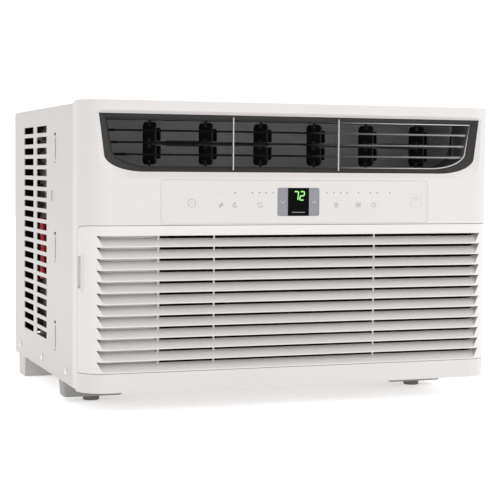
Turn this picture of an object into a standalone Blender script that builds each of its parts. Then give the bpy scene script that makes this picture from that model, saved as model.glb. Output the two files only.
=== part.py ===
"""Window air conditioner with electronic controls, front and inside.

Frame: +X right, -Y out of the front, +Z up; the origin is under the middle of the
object, on the plane of its feet.  Lengths are metres, written as counts of MM.
"""
import math

import bmesh
import bpy
from mathutils import Matrix, Vector

MM = 0.001

# ---- driving dimensions -------------------------------------------------------------
WIDTH = 470 * MM                # front frame, side to side
DEPTH = 370 * MM                # front face to cabinet back
PANEL_HEIGHT = 300 * MM         # front frame, without the feet
FOOT_HEIGHT = 25 * MM
GAP = 0.3 * MM                  # between pieces that touch
HALF = WIDTH / 2

FRAME_DEPTH = 42 * MM           # front face to the cabinet seam
FRAME_WALL = 2.5 * MM
CORNER_RADIUS = 28 * MM         # upright corners of the front
EDGE_RADIUS = 4 * MM            # top and bottom edges of the front
BLANK_EDGE = HALF - 85 * MM     # right edge of the blank wall, left of the middle

CABINET_INSET = 2 * MM          # cabinet stands in from the front frame
SHEET = 1 * MM
BEND_RADIUS = 4 * MM
BACK_FLANGE = 12 * MM

VENT_ROWS = 20
VENT_HEIGHT = 7.8 * MM
VENT_LENGTH = 56 * MM
VENT_FRONT = DEPTH - 188 * MM   # front end of the front column, from the front face
VENT_COLUMN_STEP = 74 * MM
VENT_BOTTOM = 36 * MM           # lowest slot, above the panel's lower edge
VENT_TOP_MARGIN = 18 * MM
VENT_PITCH = (PANEL_HEIGHT - VENT_BOTTOM - VENT_TOP_MARGIN) / VENT_ROWS
TAB_FRONT = 138 * MM
TAB_HEIGHTS = (31 * MM, PANEL_HEIGHT / 2 - 21 * MM, PANEL_HEIGHT - 62 * MM)
TAB_LENGTH = 27 * MM
TAB_WIDTH = 4 * MM
TAB_PROUD = 2 * MM
TAB_HOLE_RADIUS = 1.8 * MM

PAN_WALL = 1.2 * MM
PAN_RIM = 22 * MM
RAIL_FRONT = DEPTH - 55 * MM    # rear rail under the pan, from the front face
RAIL_DEPTH = 37 * MM
FOOT_INNER = HALF - 73 * MM
FOOT_OUTER = HALF - 5 * MM
FOOT_FRONT = 109 * MM
FOOT_DEPTH = 26 * MM
PAD_THICKNESS = 5 * MM
PAD_RADIUS = 9 * MM

GRILLE_BOTTOM = 19.7 * MM       # opening for the intake grille, above the lower edge
GRILLE_TOP = PANEL_HEIGHT - 128 * MM
GRILLE_WRAP = 23 * MM           # how far the grille reaches back round the corners
GRILLE_GAP = 0.5 * MM
GRILLE_DEPTH = 9 * MM
SLOT_COUNT = 12
SLAT_FIRST = 20.9 * MM          # lip of the slat below the lowest slot, above the lower edge
SLOT_PITCH = (GRILLE_TOP - SLAT_FIRST - 10.1 * MM) / SLOT_COUNT
SLAT_LIP = 1.3 * MM             # a slat's upright front edge
SLAT_RISE = 8 * MM              # from the lip up to the slat's back edge
SLAT_THICKNESS = 2.9 * MM       # measured upright
SLOT_HALF_LENGTH = HALF - 16 * MM
SLOT_END_SLANT = 6 * MM         # a slot is this much shorter at its lower edge
STAY_WIDTH = 2 * MM
STAY_DEPTH = 1.5 * MM           # stays join the back edges of the slats
STAYS = (-BLANK_EDGE - 3 * MM, -92 * MM, 92 * MM)
FINGER_BOTTOM = GRILLE_TOP - 65 * MM
FINGER_HEIGHT = 33 * MM
FINGER_DEPTH = 8 * MM
HOOK_X = HALF - 85 * MM
HOOK_THICKNESS = 2 * MM
HOOK_WIDTH = 12 * MM
HOOK_DROP = 9 * MM

FILTER_THICKNESS = 4 * MM
FILTER_FRONT = 11 * MM
FILTER_RIM = 6 * MM
FILTER_BARS = 5

OUTLET_TOP = PANEL_HEIGHT - 13.5 * MM    # outer edge of the dark bezel
OUTLET_BOTTOM = PANEL_HEIGHT - 73 * MM
OUTLET_HALF_TOP = HALF - 18 * MM
OUTLET_LEAN = 5.5 * MM          # the sides lean in on their way down
OUTLET_CORNER_X = 42 * MM
OUTLET_CORNER_Z = 18 * MM
BEZEL_RECESS = 4 * MM
BEZEL_LIP = 5.5 * MM            # outer edge to inner edge, above, below
BEZEL_SIDE_LIP = 9 * MM
BEZEL_MOUTH = 5 * MM            # depth of the sloping mouth
BEZEL_RIM = 1.5 * MM            # flat rim round the mouth
BEZEL_FLANGE = 7 * MM
BEZEL_BACK = 50 * MM
SLEEVE_WALL = 3 * MM
FLARE_SIDE = 10 * MM
FLARE_DOWN = 7 * MM
FLARE_UP = 3 * MM
COLLAR = 8 * MM
RIBS = (-72 * MM, 48 * MM)
RIB_WIDTH = 2.2 * MM
RIB_DEPTH = 2 * MM

LOUVER_Y = 14 * MM
LOUVER_CHORD = 11 * MM
LOUVER_THICKNESS = 1.8 * MM
LOUVER_PITCH = 12.4 * MM
LOUVER_HEIGHTS = tuple(OUTLET_BOTTOM + 17.8 * MM + row * LOUVER_PITCH for row in range(3))
LOUVER_TILT = 30                # degrees each way
LOUVER_END_GAP = 2 * MM
LOUVER_PIN = 1.4 * MM
LINK_X = HALF - 44 * MM
LINK_THICKNESS = 3 * MM
LINK_DEPTH = 3.2 * MM
LINK_ARM = 4 * MM
LINK_PIN = 0.8 * MM
PIN_CLEARANCE = 0.3 * MM

VANE_PITCH = 2 * OUTLET_HALF_TOP / 7
VANE_Y = 34 * MM
VANE_CHORD = 22 * MM
VANE_THICKNESS = 2.4 * MM
VANE_TURN = 20                  # degrees, front edges towards +X
VANE_END_GAP = 2 * MM
VANE_PIN = 1.5 * MM
VANE_ARM = 8 * MM
BAR_DEPTH = 3 * MM
BAR_HEIGHT = 4 * MM
BAR_NOTCH = 8 * MM
BAR_PIN = 0.9 * MM
THUMB_WIDTH = 38 * MM
THUMB_REACH = 3.5 * MM
THUMB_TEETH = 9

OVERLAY_HALF = 152.5 * MM
OVERLAY_BOTTOM = PANEL_HEIGHT - 127 * MM
OVERLAY_TOP = OVERLAY_BOTTOM + 46 * MM
OVERLAY_THICKNESS = 1 * MM
KEY_GAP = 0.25 * MM
KEY_STEM = 4.6 * MM
KEY_TRAVEL = 0.6 * MM
KEY_ROW = OVERLAY_BOTTOM + 19.7 * MM
POWER_ROW = OVERLAY_BOTTOM + 22 * MM
KEY_CORNER = 2 * MM
DISPLAY_HALF = 24 * MM
WINDOW_HALF = 12 * MM
DISPLAY_BOTTOM = OVERLAY_BOTTOM + 8 * MM
DISPLAY_TOP = DISPLAY_BOTTOM + 30 * MM
BOARD_THICKNESS = 1.6 * MM
# name: middle, height of the middle, width, height
KEYS = {
    "power_key": (-119 * MM, POWER_ROW, 14 * MM, 14 * MM),
    "eco_key": (-87 * MM, KEY_ROW, 12 * MM, 10 * MM),
    "sleep_key": (-71.5 * MM, KEY_ROW, 12 * MM, 10 * MM),
    "mode_key": (-43.5 * MM, KEY_ROW, 20 * MM, 10 * MM),
    "fan_speed_key": (43.5 * MM, KEY_ROW, 20 * MM, 10 * MM),
    "filter_key": (69.5 * MM, KEY_ROW, 12 * MM, 10 * MM),
    "timer_key": (88 * MM, KEY_ROW, 12 * MM, 10 * MM),
}

AXLE_X = 38 * MM                # shared axis of blower, motor and fan
AXLE_Z = 112 * MM
EVAPORATOR_FRONT = 45 * MM
EVAPORATOR_DEPTH = 30 * MM
EVAPORATOR_LEFT = -HALF + 93 * MM
EVAPORATOR_RIGHT = HALF - 21 * MM
EVAPORATOR_BOTTOM = 6 * MM
EVAPORATOR_TOP = OUTLET_BOTTOM - 11 * MM
EVAPORATOR_ROWS = 8             # even, so that both ends of the tube come out on the left
TRAY_DEPTH = 10 * MM
TRAY_LIP = 4 * MM
HOUSING_FRONT = 84 * MM
HOUSING_DEPTH = 46 * MM
HOUSING_WALL = 2 * MM
SCROLL_START = 84 * MM
SCROLL_GROWTH = 22 * MM
ORIFICE_RADIUS = 66 * MM
WHEEL_RADIUS = 76 * MM
WHEEL_INNER = 62 * MM
WHEEL_BLADES = 20
WHEEL_GAP = 4 * MM
SHAFT_RADIUS = 4 * MM
SHAFT_GAP = 0.3 * MM
BULKHEAD_Y = 132 * MM
BULKHEAD_THICKNESS = 1.5 * MM
DUCT_FLOOR = OUTLET_BOTTOM + 2 * MM
DUCT_TOP = OUTLET_TOP + 0.5 * MM
MOTOR_FRONT = BULKHEAD_Y + 18 * MM
MOTOR_LENGTH = 58 * MM
MOTOR_RADIUS = 44 * MM
BRACKET_GAP = 6 * MM
BRACKET_THICKNESS = 2 * MM
FAN_FRONT = DEPTH - 108 * MM
FAN_DEPTH = 28 * MM
FAN_RADIUS = 96 * MM
FAN_BLADES = 5
SLINGER = 3 * MM
SHROUD_Y = DEPTH - 70 * MM
SHROUD_RING = 20 * MM
FAN_CLEARANCE = 5 * MM
CONDENSER_FRONT = DEPTH - 54 * MM
CONDENSER_DEPTH = 34 * MM
CONDENSER_LEFT = -HALF + 31 * MM
CONDENSER_RIGHT = HALF - 21 * MM
CONDENSER_BOTTOM = 3 * MM
CONDENSER_TOP = PANEL_HEIGHT - 10 * MM
CONDENSER_ROWS = 12
BEND_TUBE = 4 * MM
COMPRESSOR_X = -HALF + 85 * MM
COMPRESSOR_Y = DEPTH - 145 * MM
COMPRESSOR_RADIUS = 50 * MM
COMPRESSOR_HEIGHT = PANEL_HEIGHT - 110 * MM
GROMMET_HEIGHT = 12 * MM
COMPRESSOR_FOOT = 3 * MM
GROMMET_CIRCLE = 62 * MM
ACCUMULATOR_RADIUS = 19 * MM
ACCUMULATOR_ANGLE = -55          # degrees from +X, seen from above
ACCUMULATOR_GAP = 3 * MM
ACCUMULATOR_LIFT = 30 * MM
ACCUMULATOR_DROP = 60 * MM
STRAP_RADIUS = 7 * MM
SUCTION_X = -HALF + 75 * MM
SUCTION_RADIUS = 4 * MM
DISCHARGE_RADIUS = 3.2 * MM
CAPILLARY_RADIUS = 1.5 * MM
CAPILLARY_X = SUCTION_X
CONTROL_BOX_LEFT = -HALF + 7 * MM
CONTROL_BOX_WIDTH = 58 * MM
CONTROL_BOX_FRONT = 50 * MM
CONTROL_BOX_DEPTH = 74 * MM
CONTROL_BOX_BOTTOM = 6 * MM
CONTROL_BOX_TOP = PANEL_HEIGHT - 86 * MM
MAIN_BOARD_MARGIN = 6 * MM
MAIN_BOARD_BOTTOM = 86 * MM
CAPACITOR_RADIUS = 20 * MM
CAPACITOR_HEIGHT = 71 * MM
BUSHING_RADIUS = 9 * MM
BUSHING_THICKNESS = 2 * MM
BUSHING_HEIGHT = 40 * MM
BUSHING_BEHIND_SEAM = 20 * MM
TERMINAL_COVER = (11 * MM, 44 * MM, 70 * MM)
TERMINAL_BOTTOM = 95 * MM

# ---- places worked out from them ----------------------------------------------------
FRONT = -DEPTH / 2
BACK = DEPTH / 2
FLOOR = FOOT_HEIGHT             # lower edge of the front frame and cabinet
SEAM = FRONT + FRAME_DEPTH
CABINET_HALF = HALF - CABINET_INSET
CABINET_TOP = FLOOR + PANEL_HEIGHT - CABINET_INSET
INSIDE_HALF = CABINET_HALF - SHEET
PAN_TOP = FLOOR + PAN_WALL
SCREEN_HALF = HALF - 0.75 * CORNER_RADIUS    # filter and blank wall stay inside the corners
HINGE_Y = FRONT
HINGE_Z = FLOOR + GRILLE_BOTTOM
SUCTION_Z = FLOOR + OUTLET_BOTTOM - 9 * MM
CAPILLARY_Z = FLOOR + 40 * MM


def from_front(distance):
    return FRONT + distance


def up(height):
    return FLOOR + height


# ---- small tools --------------------------------------------------------------------
for old in list(bpy.data.objects):
    bpy.data.objects.remove(old, do_unlink=True)

parts = bpy.data.collections.new("window_air_conditioner")
bpy.context.scene.collection.children.link(parts)
cutters = bpy.data.collections.new("cutters")
bpy.context.scene.collection.children.link(cutters)


def material(name, colour, metallic=0.0, roughness=0.5):
    mat = bpy.data.materials.new(name)
    mat.use_nodes = True
    shader = mat.node_tree.nodes["Principled BSDF"]
    shader.inputs["Base Color"].default_value = (*colour, 1.0)
    shader.inputs["Metallic"].default_value = metallic
    shader.inputs["Roughness"].default_value = roughness
    mat.diffuse_color = (*colour, 1.0)
    return mat


WHITE_PLASTIC = material("white_plastic", (0.80, 0.78, 0.75), roughness=0.4)
WHITE_STEEL = material("white_steel", (0.72, 0.70, 0.67), 0.1, 0.45)
GREY_STEEL = material("grey_steel", (0.42, 0.42, 0.41), 0.6, 0.45)
DARK_PLASTIC = material("dark_plastic", (0.08, 0.08, 0.085), roughness=0.45)
BLACK_PLASTIC = material("black_plastic", (0.02, 0.02, 0.02), roughness=0.5)
GREY_PLASTIC = material("grey_plastic", (0.25, 0.25, 0.26), roughness=0.5)
GLOSS_BLACK = material("gloss_black", (0.01, 0.01, 0.012), roughness=0.08)
RUBBER = material("rubber", (0.03, 0.03, 0.03), roughness=0.8)
ALUMINIUM = material("aluminium", (0.72, 0.73, 0.74), 0.9, 0.4)
COPPER = material("copper", (0.72, 0.38, 0.24), 1.0, 0.35)
BLACK_STEEL = material("black_steel", (0.02, 0.02, 0.022), 0.3, 0.4)
RED_PLASTIC = material("red_plastic", (0.62, 0.04, 0.03), roughness=0.45)
BOARD_GREEN = material("board_green", (0.03, 0.20, 0.09), roughness=0.5)
WHITE_FOAM = material("white_foam", (0.82, 0.82, 0.80), roughness=0.85)
STEEL = material("steel", (0.55, 0.55, 0.56), 1.0, 0.35)


def place(name, bm, mat, collection):
    bmesh.ops.recalc_face_normals(bm, faces=bm.faces)
    mesh = bpy.data.meshes.new(name)
    bm.to_mesh(mesh)
    bm.free()
    if mat:
        mesh.materials.append(mat)
        mesh.shade_smooth()
        mesh.set_sharp_from_angle(angle=math.radians(35))
    obj = bpy.data.objects.new(name, mesh)
    collection.objects.link(obj)
    return obj


def piece(name, bm, mat):
    return place(name, bm, mat, parts)


def helper(bm):
    """A hidden solid that only shapes other solids."""
    obj = place("helper", bm, None, cutters)
    obj.hide_render = True
    obj.display_type = "WIRE"
    return obj


def combine(target, other, operation):
    modifier = target.modifiers.new(operation.lower(), "BOOLEAN")
    modifier.operation = operation
    modifier.solver = "EXACT"
    modifier.object = other


def cut(target, bm):
    combine(target, helper(bm), "DIFFERENCE")


def join(target, bm):
    combine(target, helper(bm), "UNION")


def keep_inside(target, bm):
    combine(target, helper(bm), "INTERSECT")


def pivot(obj, point):
    """Put a moving piece's origin on its joint's axis."""
    obj.data.transform(Matrix.Translation(-Vector(point)))
    obj.location = point


def box(bm, x0, x1, y0, y1, z0, z1):
    centre = Vector(((x0 + x1) / 2, (y0 + y1) / 2, (z0 + z1) / 2))
    size = Matrix.Diagonal((x1 - x0, y1 - y0, z1 - z0, 1))
    bmesh.ops.create_cube(bm, size=1, matrix=Matrix.Translation(centre) @ size)


def box_piece(name, mat, *limits):
    bm = bmesh.new()
    box(bm, *limits)
    return piece(name, bm, mat)


def rod(bm, start, end, radius, sides=16, end_radius=None):
    """A cylinder, or a cone, from one point to another."""
    start = Vector(start)
    end = Vector(end)
    axis = end - start
    turn = Vector((0, 0, 1)).rotation_difference(axis).to_matrix().to_4x4()
    where = Matrix.Translation((start + end) / 2) @ turn
    bmesh.ops.create_cone(bm, cap_ends=True, segments=sides, radius1=radius,
                          radius2=radius if end_radius is None else end_radius,
                          depth=axis.length, matrix=where)


def prism(bm, outline, axis, low, high):
    """Extrude a closed outline along X, Y or Z; its points skip that axis."""
    spot = {"X": lambda a, b: (low, a, b), "Y": lambda a, b: (a, low, b),
            "Z": lambda a, b: (a, b, low)}[axis]
    face = bm.faces.new([bm.verts.new(spot(a, b)) for a, b in outline])
    grown = bmesh.ops.extrude_face_region(bm, geom=[face])
    shift = Vector([high - low if axis == name else 0 for name in "XYZ"])
    moved = [item for item in grown["geom"] if isinstance(item, bmesh.types.BMVert)]
    bmesh.ops.translate(bm, vec=shift, verts=moved)


def loft(bm, ring_a, ring_b):
    """A closed solid between two outlines with the same number of points."""
    first = [bm.verts.new(point) for point in ring_a]
    second = [bm.verts.new(point) for point in ring_b]
    bm.faces.new(first)
    bm.faces.new(list(reversed(second)))
    for index in range(len(first)):
        after = (index + 1) % len(first)
        bm.faces.new((first[index], first[after], second[after], second[index]))


def arc(centre_a, centre_b, radius_a, radius_b, start, end, steps):
    """Points on an arc, angles in degrees."""
    points = []
    for step in range(steps + 1):
        angle = math.radians(start + (end - start) * step / steps)
        points.append((centre_a + radius_a * math.cos(angle), centre_b + radius_b * math.sin(angle)))
    return points


def pipe(name, mat, points, radius, smooth_steps=4, resolution=2):
    """A round pipe through the points: straight at both ends, a smooth curve between."""
    path = [Vector(points[0])]
    for index in range(1, len(points) - 2):
        before, start, end, after = (Vector(point) for point in points[index - 1:index + 3])
        for step in range(smooth_steps):
            t = step / smooth_steps
            path.append(0.5 * (2 * start + (end - before) * t
                               + (2 * before - 5 * start + 4 * end - after) * t * t
                               + (3 * start - before - 3 * end + after) * t ** 3))
    path += [Vector(points[-2]), Vector(points[-1])]
    curve = bpy.data.curves.new(name, "CURVE")
    curve.dimensions = "3D"
    curve.bevel_depth = radius
    curve.bevel_resolution = resolution
    curve.use_fill_caps = True
    spline = curve.splines.new("POLY")
    spline.points.add(len(path) - 1)
    for point, place_at in zip(spline.points, path):
        point.co = (*place_at, 1)
    curve.materials.append(mat)
    obj = bpy.data.objects.new(name, curve)
    parts.objects.link(obj)
    return obj


def rounded_front(half, front, back, radius, steps=6):
    """Plan outline with rounded front corners, as (x, y) points."""
    left = arc(-half + radius, front + radius, radius, radius, 180, 270, steps)
    right = arc(half - radius, front + radius, radius, radius, 270, 360, steps)
    return [(-half, back)] + left + right + [(half, back)]


# ---- cabinet, pan and feet ----------------------------------------------------------
def cabinet_outline(inset):
    """The wrap's outline from the left foot, over the top, to the right foot."""
    half = CABINET_HALF - inset
    top = CABINET_TOP - inset
    radius = BEND_RADIUS - inset
    left = arc(-half + radius, top - radius, radius, radius, 180, 90, 4)
    right = arc(half - radius, top - radius, radius, radius, 90, 0, 4)
    return [(-half, FLOOR)] + left + right + [(half, FLOOR)]


def bushing_spot():
    return SEAM + BUSHING_BEHIND_SEAM, up(BUSHING_HEIGHT)


def make_cabinet():
    outer = cabinet_outline(0)
    inner = list(reversed(cabinet_outline(SHEET)))
    bm = bmesh.new()
    prism(bm, outer + inner, "Y", SEAM + GAP, BACK)
    cabinet = piece("outer_cabinet", bm, WHITE_STEEL)

    flange = bmesh.new()
    middle = SHEET / 2
    box(flange, -CABINET_HALF + middle, -CABINET_HALF + BACK_FLANGE, BACK - SHEET, BACK,
        FLOOR + PAN_RIM, CABINET_TOP - middle)
    box(flange, CABINET_HALF - BACK_FLANGE, CABINET_HALF - middle, BACK - SHEET, BACK,
        FLOOR + PAN_RIM, CABINET_TOP - middle)
    join(cabinet, flange)
    strip = bmesh.new()
    box(strip, -CABINET_HALF + BACK_FLANGE - middle, CABINET_HALF - BACK_FLANGE + middle,
        BACK - SHEET, BACK, CABINET_TOP - BACK_FLANGE, CABINET_TOP - middle)
    join(cabinet, strip)

    slots = bmesh.new()
    for column in range(2):
        start = from_front(VENT_FRONT + column * VENT_COLUMN_STEP)
        for row in range(VENT_ROWS):
            low = up(VENT_BOTTOM + row * VENT_PITCH)
            box(slots, -WIDTH, WIDTH, start, start + VENT_LENGTH, low, low + VENT_HEIGHT)
    cut(cabinet, slots)

    tabs = bmesh.new()
    holes = bmesh.new()
    tab_y = from_front(TAB_FRONT)
    for height in TAB_HEIGHTS:
        low = up(height)
        high = low + TAB_LENGTH
        for side in (-1, 1):
            inner_x = side * (CABINET_HALF - SHEET / 2)
            outer_x = side * (CABINET_HALF + TAB_PROUD)
            box(tabs, min(inner_x, outer_x), max(inner_x, outer_x),
                tab_y - TAB_WIDTH / 2, tab_y + TAB_WIDTH / 2, low, high)
        hole_z = high + 2 * TAB_HOLE_RADIUS
        rod(holes, (-WIDTH, tab_y, hole_z), (WIDTH, tab_y, hole_z), TAB_HOLE_RADIUS, 10)
    join(cabinet, tabs)
    cut(cabinet, holes)
    bushing_hole = bmesh.new()
    bushing_y, bushing_z = bushing_spot()
    rod(bushing_hole, (INSIDE_HALF - SHEET, bushing_y, bushing_z),
        (CABINET_HALF + SHEET, bushing_y, bushing_z), BUSHING_RADIUS + GAP, 24)
    cut(cabinet, bushing_hole)


def make_pan():
    half = INSIDE_HALF - GAP
    front = SEAM + GAP
    back = BACK - SHEET - GAP
    bm = bmesh.new()
    box(bm, -half, half, front, back, FLOOR, up(PAN_RIM))
    pan = piece("base_pan", bm, GREY_STEEL)
    pocket = bmesh.new()
    box(pocket, -half + PAN_WALL, half - PAN_WALL, front + PAN_WALL, back - PAN_WALL,
        PAN_TOP, up(2 * PAN_RIM))
    cut(pan, pocket)
    rail = bmesh.new()
    box(rail, -half, half, from_front(RAIL_FRONT), from_front(RAIL_FRONT + RAIL_DEPTH),
        0, FLOOR + PAN_WALL / 2)
    join(pan, rail)
    hollow = bmesh.new()
    box(hollow, -half + PAN_WALL, half - PAN_WALL, from_front(RAIL_FRONT) + PAN_WALL,
        from_front(RAIL_FRONT + RAIL_DEPTH) - PAN_WALL, PAN_WALL, up(PAN_RIM))
    cut(pan, hollow)


def make_feet():
    for side, label in ((-1, "left"), (1, "right")):
        low_x = min(side * FOOT_INNER, side * FOOT_OUTER)
        high_x = max(side * FOOT_INNER, side * FOOT_OUTER)
        front = from_front(FOOT_FRONT)
        bm = bmesh.new()
        box(bm, low_x, high_x, front, front + FOOT_DEPTH, PAD_THICKNESS, FLOOR - GAP)
        foot = piece(f"{label}_foot", bm, GREY_PLASTIC)
        bevel = foot.modifiers.new("bevel", "BEVEL")
        bevel.width = PAD_THICKNESS / 2
        bevel.segments = 2
        bevel.limit_method = "ANGLE"
        pad = bmesh.new()
        pad_x = side * (FOOT_INNER + FOOT_OUTER) / 2
        pad_y = front + FOOT_DEPTH / 2
        rod(pad, (pad_x, pad_y, 0), (pad_x, pad_y, PAD_THICKNESS - GAP), PAD_RADIUS, 16)
        piece(f"{label}_foot_pad", pad, RUBBER)


# ---- outlet outline -----------------------------------------------------------------
def outlet_sides(shrink_side=0.0, shrink_low=0.0):
    """Half-width at the top, half-width and height where the corner begins."""
    top_half = OUTLET_HALF_TOP - shrink_side
    low_half = top_half - OUTLET_LEAN
    corner_z = up(OUTLET_BOTTOM + shrink_low + OUTLET_CORNER_Z)
    return top_half, low_half, corner_z


def outlet_outline(shrink_side=0.0, shrink_low=0.0, shrink_top=0.0, steps=6):
    """Outline of the outlet as (x, z) points, drawn in by the given amounts."""
    top_half, low_half, corner_z = outlet_sides(shrink_side, shrink_low)
    top = up(OUTLET_TOP - shrink_top)
    centre = low_half - OUTLET_CORNER_X
    left = arc(-centre, corner_z, OUTLET_CORNER_X, OUTLET_CORNER_Z, 180, 270, steps)
    right = arc(centre, corner_z, OUTLET_CORNER_X, OUTLET_CORNER_Z, 270, 360, steps)
    return [(-top_half, top)] + left + right + [(top_half, top)]


def inner_outline(grow=0.0):
    return outlet_outline(BEZEL_SIDE_LIP - grow, BEZEL_LIP - grow, BEZEL_LIP - grow)


def inner_half_width(height):
    """Half-width of the bezel's inside at a height above the lower edge."""
    top_half, low_half, corner_z = outlet_sides(BEZEL_SIDE_LIP, BEZEL_LIP)
    top = up(OUTLET_TOP - BEZEL_LIP)
    z = up(height)
    if z < corner_z:
        sink = (corner_z - z) / OUTLET_CORNER_Z
        return low_half - OUTLET_CORNER_X * (1 - math.sqrt(1 - sink * sink))
    return low_half + (top_half - low_half) * (z - corner_z) / (top - corner_z)


# ---- front frame and grille ---------------------------------------------------------
def grille_profile(clearance):
    """Side view of the grille as (y, z) points; its top is an arc about the hinge."""
    radius = GRILLE_TOP - GRILLE_BOTTOM - GRILLE_GAP + clearance
    back = GRILLE_WRAP + clearance - GRILLE_GAP
    bottom = HINGE_Z + GRILLE_GAP - clearance
    end = math.degrees(math.acos(back / radius))
    curve = [point for point in arc(HINGE_Y, HINGE_Z, radius, radius, end, 90, 4)]
    return [(HINGE_Y, bottom), (HINGE_Y + back, bottom)] + curve


def make_front_frame():
    bm = bmesh.new()
    prism(bm, rounded_front(HALF, FRONT, SEAM, CORNER_RADIUS), "Z", FLOOR, up(PANEL_HEIGHT))
    edges = [edge for edge in bm.edges
             if abs(edge.verts[0].co.z - edge.verts[1].co.z) < GAP
             and min(vert.co.y for vert in edge.verts) < SEAM - GAP]
    bmesh.ops.bevel(bm, geom=edges, offset=EDGE_RADIUS, segments=3, profile=0.5, affect="EDGES")
    frame = piece("front_frame", bm, WHITE_PLASTIC)

    hollow = bmesh.new()
    prism(hollow, rounded_front(HALF - FRAME_WALL, FRONT + FRAME_WALL, SEAM + FRAME_WALL,
                                CORNER_RADIUS - FRAME_WALL), "Z",
          FLOOR + FRAME_WALL, up(PANEL_HEIGHT) - FRAME_WALL)
    cut(frame, hollow)

    opening = bmesh.new()
    profile = grille_profile(GRILLE_GAP)
    prism(opening, [(FRONT - FRAME_WALL, profile[0][1])] + profile[1:]
          + [(FRONT - FRAME_WALL, profile[-1][1])], "X", -WIDTH, WIDTH)
    cut(frame, opening)

    collar = bmesh.new()
    collar_front = FRONT + FRAME_WALL / 2
    collar_back = FRONT + BEZEL_RECESS + BEZEL_FLANGE
    prism(collar, outlet_outline(-COLLAR, -COLLAR, -COLLAR), "Y", collar_front, collar_back)
    limits = bmesh.new()
    prism(limits, rounded_front(HALF - GAP, FRONT + GAP, SEAM, CORNER_RADIUS), "Z",
          FLOOR + FRAME_WALL, up(PANEL_HEIGHT) - FRAME_WALL / 2)
    collar_block = helper(collar)
    keep_inside(collar_block, limits)
    combine(frame, collar_block, "UNION")

    hole = bmesh.new()
    prism(hole, outlet_outline(), "Y", FRONT - FRAME_WALL, collar_back + FRAME_WALL)
    cut(frame, hole)
    flare = bmesh.new()
    mouth = outlet_outline(-FLARE_SIDE, -FLARE_DOWN, -FLARE_UP)
    loft(flare, [(x, FRONT - GAP, z) for x, z in mouth],
         [(x, FRONT + BEZEL_RECESS, z) for x, z in outlet_outline(GAP, GAP, GAP)])
    cut(frame, flare)

    blank = bmesh.new()
    blank_front = from_front(FILTER_FRONT)
    box(blank, -SCREEN_HALF, -BLANK_EDGE, blank_front, blank_front + FRAME_WALL,
        FLOOR + FRAME_WALL / 2, up(GRILLE_TOP))
    join(frame, blank)

    pockets = bmesh.new()
    box(pockets, -OVERLAY_HALF, OVERLAY_HALF, FRONT - FRAME_WALL, FRONT + OVERLAY_THICKNESS + 2 * GAP,
        up(OVERLAY_BOTTOM), up(OVERLAY_TOP))
    cut(frame, pockets)
    windows = bmesh.new()
    for middle, height, width, tall in all_keys().values():
        inset = KEY_CORNER
        box(windows, middle - width / 2 + inset, middle + width / 2 - inset, FRONT - FRAME_WALL,
            FRONT + 2 * FRAME_WALL, up(height) - tall / 2 + inset, up(height) + tall / 2 - inset)
    box(windows, -WINDOW_HALF + GAP, WINDOW_HALF - GAP, FRONT - FRAME_WALL, FRONT + 2 * FRAME_WALL,
        up(DISPLAY_BOTTOM) + GAP, up(DISPLAY_TOP) - GAP)
    cut(frame, windows)
    return frame


def cut_slot(bm, lip):
    """The air slot above the slat whose front edge is at lip; its ends slant with height."""
    slope = SLAT_RISE / GRILLE_DEPTH
    back = 2 * GRILLE_DEPTH
    low = lip + SLAT_LIP / 2
    high = low + SLOT_PITCH - SLAT_LIP
    under = low + SLOT_PITCH - SLAT_THICKNESS
    knee = (high - under) / slope
    ring = [(-GAP, low), (-GAP, high), (knee, high), (back, under + slope * back),
            (back, low + slope * back), (0, low)]
    ends = [SLOT_HALF_LENGTH - SLOT_END_SLANT * (high - z) / (high - low) for _, z in ring]
    loft(bm, [(-end, FRONT + y, z) for end, (y, z) in zip(ends, ring)],
         [(end, FRONT + y, z) for end, (y, z) in zip(ends, ring)])


def make_grille():
    bm = bmesh.new()
    prism(bm, rounded_front(HALF, FRONT, SEAM, CORNER_RADIUS), "Z", FLOOR, up(GRILLE_TOP + FRAME_WALL))
    grille = piece("intake_grille", bm, WHITE_PLASTIC)
    hollow = bmesh.new()
    prism(hollow, rounded_front(HALF - FRAME_WALL, FRONT + GRILLE_DEPTH, SEAM + FRAME_WALL,
                                CORNER_RADIUS - FRAME_WALL), "Z", 0, up(PANEL_HEIGHT))
    cut(grille, hollow)
    profile = bmesh.new()
    prism(profile, [(y - (GAP if index in (0, 6) else 0), z)
                    for index, (y, z) in enumerate(grille_profile(0))], "X", -WIDTH, WIDTH)
    keep_inside(grille, profile)

    slots = bmesh.new()
    for row in range(SLOT_COUNT):
        cut_slot(slots, up(SLAT_FIRST + row * SLOT_PITCH))
    cut(grille, slots)

    stays = bmesh.new()
    low = up(SLAT_FIRST) - SLAT_LIP
    high = up(SLAT_FIRST + SLOT_COUNT * SLOT_PITCH) + SLAT_RISE / 2
    for middle in STAYS:
        box(stays, middle - STAY_WIDTH / 2, middle + STAY_WIDTH / 2,
            FRONT + GRILLE_DEPTH - STAY_DEPTH, FRONT + GRILLE_DEPTH - GAP, low, high)
    join(grille, stays)

    hooks = bmesh.new()
    for side in (-1, 1):
        middle = side * HOOK_X
        box(hooks, middle - HOOK_WIDTH / 2, middle + HOOK_WIDTH / 2,
            FRONT + FRAME_WALL + 4 * GAP, FRONT + FRAME_WALL + 4 * GAP + HOOK_THICKNESS,
            HINGE_Z - HOOK_DROP, HINGE_Z + HOOK_THICKNESS)
    join(grille, hooks)

    finger = bmesh.new()
    box(finger, -WIDTH, -HALF + 3 * FRAME_WALL, from_front(GRILLE_WRAP - FINGER_DEPTH),
        from_front(2 * GRILLE_WRAP), up(FINGER_BOTTOM), up(FINGER_BOTTOM + FINGER_HEIGHT))
    cut(grille, finger)
    pivot(grille, (0, HINGE_Y, HINGE_Z))


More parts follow.
